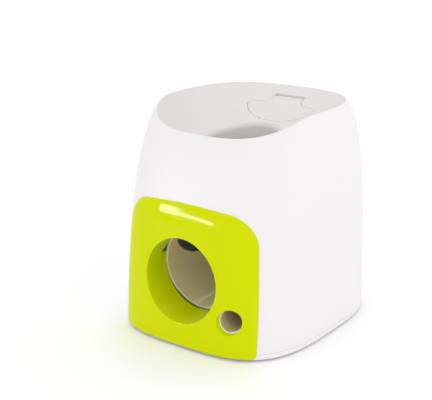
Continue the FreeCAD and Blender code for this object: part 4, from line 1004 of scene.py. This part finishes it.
@dataclass
class Dish:
    """White dish with its throat, and the lid let into its back."""

    form: BodyForm
    columns: int = 320
    dish_rows: int = 64
    roll_rows: int = 10
    throat_rows: int = 14
    throat_radius: float = 0.041
    throat_roll: float = 0.006
    throat_bottom: float = 0.136
    drop_y: float = -0.012
    wall: float = 0.0026
    rim_seam: float = -0.0014
    rim_sink: float = 0.0004
    rim_round: float = 0.0005
    lip_height: float = 0.176
    lip_tilt: float = 0.17
    shelf_tilt: float = 0.30
    shelf_start: float = 0.029
    shelf_blend: float = 0.010
    lid_gap: float = 0.0004
    prism_low: float = 0.14
    prism_high: float = 0.26
    hinge_y: float = 0.0718
    hinge_z: float = 0.20273
    barrel_radius: float = 0.0032
    barrel_half: float = 0.0164
    pin_radius: float = 0.00125
    pin_gap: float = 0.00005
    bore_half: float = 0.05
    lug_start: float = 0.0198
    lug_width: float = 0.0040
    lug_margin: float = 0.0004
    slot_half: float = 0.0174
    slot_front: float = 0.002
    slot_back: float = 0.0005
    slot_below: float = 0.012
    slot_above: float = 0.03
    ledge_reach: float = 0.0025
    ledge_depth: float = 0.0016
    ledge_join: float = 0.001
    rest_gap: float = 0.0003
    hinge_room: tuple[float, float, float] = (0.08, 0.0592, 0.10)
    boss_radius: float = 0.0048
    boss_top: float = 0.24
    bosses: tuple[tuple[float, float, float], ...] = (
        (0.048, -0.060, 0.1521), (-0.048, -0.060, 0.1521), (0.022, 0.0795, 0.1521), (-0.022, 0.0795, 0.1521),
        (-0.0511, 0.052, 0.1751), (-0.030, 0.0309, 0.1751), (0.038, 0.0309, 0.1751))

    def floor_height(self, y: Array) -> Array:
        """Dish floor along Y: a gentle slope to the throat that steepens behind it in a smooth bend."""
        behind = y - self.shelf_start
        steep = self.shelf_tilt * (behind + np.hypot(behind, self.shelf_blend)) / 2
        return self.lip_height + self.lip_tilt * (y - self.drop_y) + steep

    def surface(self, angle: Array, share: Array, depth: float) -> Array:
        """Points of the dish: straight in plan from the rim to the throat's roll, with a parabola's rise.

        Args:
            angle: directions, as columns.
            share: 1 at the rim and 0 at the roll, as rows.
            depth: how far below the upper surface.

        Returns:
            Points as (row, column, 3).
        """
        crest_y = self.form.reach_at(angle, np.ones(angle.shape), 0.0) * np.sin(angle)
        rim = self.form.reach_at(angle, np.ones(angle.shape), self.form.wall + self.rim_seam)
        rim_x, rim_y = rim * np.cos(angle), rim * np.sin(angle)
        lip = self.throat_radius + self.throat_roll
        lip_x, lip_y = lip * np.cos(angle), self.drop_y + lip * np.sin(angle)
        x, y = lip_x + (rim_x - lip_x) * share, lip_y + (rim_y - lip_y) * share
        rise = (self.form.rim_height(crest_y) - self.rim_sink - self.floor_height(rim_y)) * share**2
        return stack(x, y, self.floor_height(y) + rise - depth + self.form.foot_rise)

    def roll(self, angle: Array, bend: Array, depth: float) -> Array:
        """Points of the rounded edge between the dish and the throat."""
        radius = self.throat_radius + self.throat_roll - (self.throat_roll - depth) * np.sin(bend)
        top = self.surface(angle, np.zeros((1, 1)), 0.0)[..., 2]
        height = top - self.throat_roll + (self.throat_roll - depth) * np.cos(bend)
        return stack(radius * np.cos(angle), self.drop_y + radius * np.sin(angle), height)

    def side(self, angle: Array, depth: float) -> Array:
        """One face of the dish from its rim to the throat's lower end, as rows of loops."""
        dish = self.surface(angle, np.linspace(1, 0, self.dish_rows)[:, None], depth)
        bends = np.linspace(0, math.pi / 2, self.roll_rows)[1:, None]
        rolled = self.roll(angle, bends, depth)
        start = rolled[-1]
        end = start.copy()
        end[:, 2] = self.throat_bottom + self.form.foot_rise
        fall = np.linspace(0, 1, self.throat_rows)[1:, None, None]
        return np.concatenate([dish, rolled, start + (end - start) * fall])

    def slab(self, name: str) -> bpy.types.Object:
        """The whole dish as one closed surface, with a rounded rim and throat end."""
        angle = turn(self.columns)
        top, under = self.side(angle, 0.0), self.side(angle, self.wall)[::-1]
        corner = top[0]
        rim = corner - (0.0, 0.0, self.rim_round)
        inward = top[1] - corner
        edge = corner + inward * (self.rim_round / np.linalg.norm(inward, axis=1))[:, None]
        rounded = [rim * (1 - t) ** 2 + 2 * corner * t * (1 - t) + edge * t**2
                   for t in (0.0, 0.25, 0.5, 0.75, 1.0)]
        return solid_of_loops(name, np.concatenate([np.stack(rounded), top[1:], under]), closed=True)

    def lid_loop(self, outset: float) -> Array:
        """Outline of the lid from above, moved outwards: tab, shoulders, ears, belly and finger tip."""
        tab = [(0.0170, self.hinge_y), (0.0170, self.hinge_y - 0.0056), (0.0210, 0.0620), (0.0310, 0.0600)]
        ears = arc_through((0.0310, 0.0600), (0.0368, 0.0576), (0.0384, 0.0540), 10)
        belly = arc_through((0.0384, 0.0540), (0.0295, 0.0445), (0.0134, 0.0383), 24)
        half = np.array(tab + ears[1:] + belly[1:] + [(0.0120, 0.0360)])
        loop = np.concatenate([half, half[::-1] * (-1, 1)])
        if outset:
            before, after = np.roll(loop, 1, axis=0), np.roll(loop, -1, axis=0)
            first, second = (unit(loop - before), unit(after - loop))
            normals = np.stack([first, second])[..., ::-1] * (-1, 1)
            mitre = normals.sum(axis=0)
            mitre /= (1 + (first * second).sum(axis=1))[:, None]
            loop = loop + mitre * outset
        return loop

    def lid_prism(self, name: str, outset: float) -> bpy.types.Object:
        """The lid's outline run upright."""
        loop = self.lid_loop(outset)
        rings = [stack(loop[:, 0], loop[:, 1], z) for z in (self.prism_low, self.prism_high)]
        return solid_of_loops(name, np.stack(rings), closed=False)

    def build(self) -> tuple[bpy.types.Object, bpy.types.Object]:
        """Dish and lid."""
        bowl, lid = self.slab("dish"), self.slab("treat_lid_cover")
        carve(lid, self.lid_prism("lid_outline", 0.0), Cut.KEEP)
        carve(bowl, self.lid_prism("lid_opening", self.lid_gap), Cut.REMOVE)
        front, back = self.hinge_y - self.slot_front, self.hinge_y + self.barrel_radius + self.slot_back
        slot = box_object("hinge_slot", (-self.slot_half, front, self.hinge_z - self.slot_below),
                          (self.slot_half, back, self.hinge_z + self.slot_above))
        carve(bowl, slot, Cut.REMOVE)
        carve(bowl, self._ledge(), Cut.ADD)
        for fitting in self._fittings():
            carve(bowl, fitting, Cut.ADD)
        barrel = bar_along_x("lid_barrel", -self.barrel_half, self.barrel_half, self.hinge_y, self.hinge_z,
                             self.barrel_radius)
        carve(lid, barrel, Cut.ADD)
        bore = bar_along_x("lid_bore", -self.bore_half, self.bore_half, self.hinge_y, self.hinge_z,
                           self.pin_radius + self.pin_gap)
        carve(lid, bore, Cut.REMOVE, keep_tool=True)
        carve(bowl, bore, Cut.REMOVE)
        for piece in (bowl, lid):
            soften(piece, 38.0)
            weigh_normals(piece)
        return bowl, lid

    def _under_cut(self, name: str, depth: float) -> bpy.types.Object:
        """Everything below a surface that lies under the dish, as one closed solid."""
        angle = turn(self.columns)
        skin = self.side(angle, depth)[: self.dish_rows]
        foot = skin[[-1, 0]].copy()
        foot[..., 2] = self.prism_low
        return solid_of_loops(name, np.concatenate([skin, foot]), closed=True)

    def _ledge(self) -> bpy.types.Object:
        """Ledge under the lid's edge: a ring between two surfaces that follow the dish."""
        depth = self.wall + self.rest_gap
        ledge = self.lid_prism("lid_ledge", self.ledge_reach + self.ledge_join)
        carve(ledge, self.lid_prism("ledge_opening", -self.ledge_reach), Cut.REMOVE)
        carve(ledge, self._under_cut("ledge_top", depth), Cut.KEEP)
        carve(ledge, self._under_cut("ledge_base", depth + self.ledge_depth), Cut.REMOVE)
        half, front, back = self.hinge_room
        room = box_object("hinge_room", (-half, front, self.prism_low), (half, back, self.prism_high))
        carve(ledge, room, Cut.REMOVE)
        return ledge

    def _fittings(self) -> list[bpy.types.Object]:
        """Hinge lugs and screw bosses, trimmed to stay under the dish's upper surface."""
        fittings = []
        size = self.barrel_radius + self.lug_margin
        slope = math.atan(self.lip_tilt + self.shelf_tilt)
        for start in (self.lug_start, -self.lug_start - self.lug_width):
            lug = box_object("hinge_lug", (start, self.hinge_y - size, self.hinge_z - size),
                             (start + self.lug_width, self.hinge_y + size, self.hinge_z + size))
            pivot = Vector((0, self.hinge_y, self.hinge_z))
            tilt = Matrix.Translation(pivot) @ Matrix.Rotation(slope, 4, "X") @ Matrix.Translation(-pivot)
            lug.data.transform(tilt)
            fittings.append(lug)
        for x, y, low in self.bosses:
            fittings.append(bar_along_z("screw_boss", x, y, low, self.boss_top, self.boss_radius))
        limit = self._under_cut("fitting_limit", self.wall / 3)
        for fitting in fittings:
            carve(fitting, limit, Cut.KEEP, keep_tool=True)
        drop(limit)
        return fittings


def unit(vectors: Array) -> Array:
    """Vectors scaled to length 1."""
    return vectors / np.linalg.norm(vectors, axis=-1, keepdims=True)


def arc_through(start: tuple[float, float], middle: tuple[float, float], end: tuple[float, float],
                count: int) -> list[tuple[float, float]]:
    """Points of the circle through three points, from the first to the last."""
    a, b, c = (complex(*p) for p in (start, middle, end))
    ratio = (c - a) / (b - a)
    centre = (b - a) * (ratio - abs(ratio) ** 2) / (2j * ratio.imag) + a
    first, way, last = (np.angle(p - centre) for p in (a, b, c))
    sweep = (last - first) % (2 * math.pi)
    if (way - first) % (2 * math.pi) > sweep:
        sweep -= 2 * math.pi
    turns = first + sweep * np.linspace(0, 1, count)
    points = centre + abs(a - centre) * np.exp(1j * turns)
    return list(zip(points.real, points.imag))


def bar_along_x(name: str, left: float, right: float, y: float, z: float, radius: float) -> bpy.types.Object:
    """Round bar along X."""
    angle = turn(64)
    rings = [stack(x, y + radius * np.cos(angle), z + radius * np.sin(angle)) for x in (left, right)]
    return solid_of_loops(name, np.stack(rings), closed=False)


def bar_along_z(name: str, x: float, y: float, low: float, high: float, radius: float) -> bpy.types.Object:
    """Round upright bar."""
    angle = turn(48)
    rings = [stack(x + radius * np.cos(angle), y + radius * np.sin(angle), z) for z in (low, high)]
    return solid_of_loops(name, np.stack(rings), closed=False)


def box_object(name: str, low: tuple[float, float, float],
               high: tuple[float, float, float]) -> bpy.types.Object:
    """Box between two corners, as two rings of four points."""
    x, y = np.array([low[0], high[0], high[0], low[0]]), np.array([low[1], low[1], high[1], high[1]])
    return solid_of_loops(name, np.stack([stack(x, y, z) for z in (low[2], high[2])]), closed=False)


# ---------------------------------------------------------------- pieces carried over from the solids


@dataclass(frozen=True)
class Carried:
    """A solid whose shape is right: its mesh is merged and smoothed."""

    node: str
    slot: Slot
    crease_degrees: float = 30.0
    merge_distance: float = 0.000001

    def build(self, frame: dict) -> bpy.types.Object:
        """Copies the solid's mesh into a new piece that stands for it.


        Returns:
            The new piece.
        """
        source = frame["nodes"][self.node]
        made = add_object(self.node + "_piece", source.data.copy())
        made.data.materials.clear()
        made.modifiers.new("merge", "WELD").merge_threshold = self.merge_distance
        bake_modifiers(made)
        soften(made, self.crease_degrees)
        return made


CARRIED_NODES: dict[Slot, tuple[str, ...]] = {
    Slot.CLEAR_STORE: ("treat_hopper",),
    Slot.GREY_CASING: ("dispenser_casing", "dispenser_cover"),
    Slot.NATURAL_DRUM: ("dispenser_drum", "drum_pinion", "sector_gear", "drum_bushes", "shaft_bushes"),
    Slot.BLUE_PADDLE: ("trip_paddle",),
    Slot.DARK_BRACKET: ("left_bracket", "right_bracket"),
    Slot.STEEL: ("drum_axle", "drum_clips", "trip_shaft", "shaft_clips", "lid_hinge_pin"),
    Slot.SPRING_STEEL: ("return_spring",),
    Slot.SCREW_STEEL: ("base_screws", "bezel_screws", "bowl_screws", "chute_screws", "bracket_screws",
                       "casing_screws", "hopper_screws"),
    Slot.BLACK_RUBBER: ("rubber_feet", "wiper_blade"),
}
CARRIED = tuple(Carried(node, slot) for slot, nodes in CARRIED_NODES.items() for node in nodes)


# ---------------------------------------------------------------- studio


@dataclass
class Studio:
    """Pale floor, soft lights and the camera."""

    azimuth: float = 36.427
    elevation: float = 17.248
    distance: float = 0.973986
    target: tuple[float, float, float] = (-0.023255, -0.020732, 0.116642)
    lens: float = 83.29
    sensor: float = 36.0
    floor_half: float = 4.0
    floor_colours: tuple[tuple[float, float, float], ...] = ((0.99, 0.99, 0.99), (0.98, 0.98, 0.98))
    world_strength: float = 1.03
    lamp_aim: tuple[float, float, float] = (0.0, 0.0, 0.1)
    clip: tuple[float, float] = (0.01, 50.0)

    def build(self) -> None:
        """Builds everything that isn't the object."""
        self._floor()
        self._world()
        self._lamp("window", (-0.94, -1.11, 0.25), 0.28, 0.26, 15.0, True)
        self._lamp("sill", (-0.66, -1.30, 0.17), 0.44, 0.09, 7.5, True)
        self._lamp("side", (1.5, -0.2, 0.9), 1.0, 1.0, 2.6)
        self._camera()

    def _floor(self) -> None:
        """Large level floor."""
        half = self.floor_half
        x, y = np.array([-half, half, half, -half]), np.array([-half, -half, half, half])
        mesh = bpy.data.meshes.new("studio_floor")
        mesh.from_pydata(stack(x, y, 0.0).tolist(), [], [[0, 1, 2, 3]])
        floor = add_object("studio_floor", mesh)
        graph = Graph("pale_floor")
        light, dark = (rgba(colour) for colour in self.floor_colours)
        graph.set(Base_Color=graph.blend(graph.noise(1.5, 2.0), light, dark), Roughness=0.8)
        mesh.materials.append(graph.material)

    def _world(self) -> None:
        """Even white surroundings."""
        world = bpy.data.worlds.new("studio_world")
        world.use_nodes = True
        background = world.node_tree.nodes["Background"]
        background.inputs["Color"].default_value = (1.0, 1.0, 1.0, 1.0)
        background.inputs["Strength"].default_value = self.world_strength
        bpy.context.scene.world = world

    def _lamp(self, name: str, place: tuple[float, float, float], width: float, height: float,
              power: float, shine_only: bool = False) -> None:
        """Rectangular soft light that faces the object.

        Args:
            name: name of the light.
            place: its middle.
            width: its size along the level edge.
            height: its size along the other edge.
            power: watts.
            shine_only: whether it shows in reflections only.
        """
        light = bpy.data.lights.new(name, "AREA")
        light.shape = "RECTANGLE"
        light.size, light.size_y, light.energy = width, height, power
        lamp = bpy.data.objects.new(name, light)
        lamp.location = place
        lamp.visible_diffuse = not shine_only
        aim = Vector(self.lamp_aim) - Vector(place)
        lamp.rotation_euler = aim.to_track_quat("-Z", "Y").to_euler()
        bpy.context.scene.collection.objects.link(lamp)

    def _camera(self) -> None:
        """Camera on a sphere round its target."""
        a, e = math.radians(self.azimuth), math.radians(self.elevation)
        back = Vector((math.sin(a) * math.cos(e), -math.cos(a) * math.cos(e), math.sin(e)))
        data = bpy.data.cameras.new("camera")
        data.lens, data.sensor_width = self.lens, self.sensor
        data.clip_start, data.clip_end = self.clip
        camera = bpy.data.objects.new("camera", data)
        camera.location = Vector(self.target) + back * self.distance
        camera.rotation_mode = "QUATERNION"
        camera.rotation_quaternion = (-back).to_track_quat("-Z", "Y")
        bpy.context.scene.collection.objects.link(camera)
        bpy.context.scene.camera = camera


# ---------------------------------------------------------------- assembly


@dataclass
class Launcher:
    """The whole object: builds each sub-assembly, dresses it and sets it on its body."""

    frame: dict
    materials: dict[Slot, bpy.types.Material] = field(default_factory=dict)
    form: BodyForm = field(default_factory=BodyForm)
    outline: PanelOutline = field(default_factory=PanelOutline)

    def finish(self, piece: bpy.types.Object, slot: Slot, *nodes: str) -> None:
        """Gives a piece its finish and sets it on the body of the nodes it stands for.

        Args:
            piece: the new piece.
            slot: its material slot.
            nodes: the solids that it stands for.
        """
        if slot not in self.materials:
            self.materials[slot] = FINISHES[slot].material()
        piece.data.materials.clear()
        piece.data.materials.append(self.materials[slot])
        body = self.frame["nodes"][nodes[0]]["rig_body"]
        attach(piece, body)
        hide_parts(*nodes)
        LOG.info("%s: %d faces on %s", piece.name, len(piece.data.polygons), body)

    def build(self) -> None:
        """Builds every piece."""
        self.finish(Housing(self.form, self.outline).build(), Slot.WHITE_SHELL, "housing")
        self.finish(BasePlate(self.form).build(), Slot.WHITE_SHELL, "base_plate")
        self.finish(FrontPanel(self.form, self.outline).build(), Slot.LIME_PANEL, "front_bezel")
        bowl, lid = Dish(self.form).build()
        self.finish(bowl, Slot.WHITE_DISH, "funnel_bowl")
        self.finish(lid, Slot.WHITE_DISH, "treat_lid")
        pipe = Carried("treat_tube", Slot.WHITE_WAY).build(self.frame)
        chute = Carried("ball_chute", Slot.WHITE_WAY).build(self.frame)
        TreatPipe(FrontPanel(self.form, self.outline)).build(pipe)
        # The treat pipe gets the deeper painted shade inside, the chute the plain painted shade; both get
        # painted light on their forward edges.
        for way, node, inside in ((pipe, "treat_tube", 0.0), (chute, "ball_chute", 0.5)):
            paint_way_light_and_shade(way, inside)
            self.finish(way, Slot.WHITE_WAY, node)
        for item in CARRIED:
            self.finish(item.build(self.frame), item.slot, item.node)


def main() -> None:
    """Builds the object and the studio."""
    logging.basicConfig(level=logging.INFO, format="%(name)s: %(message)s")
    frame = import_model()
    Launcher(frame).build()
    Studio().build()
    bpy.context.scene.view_settings.view_transform = "Standard"


if __name__ == "__main__":
    main()
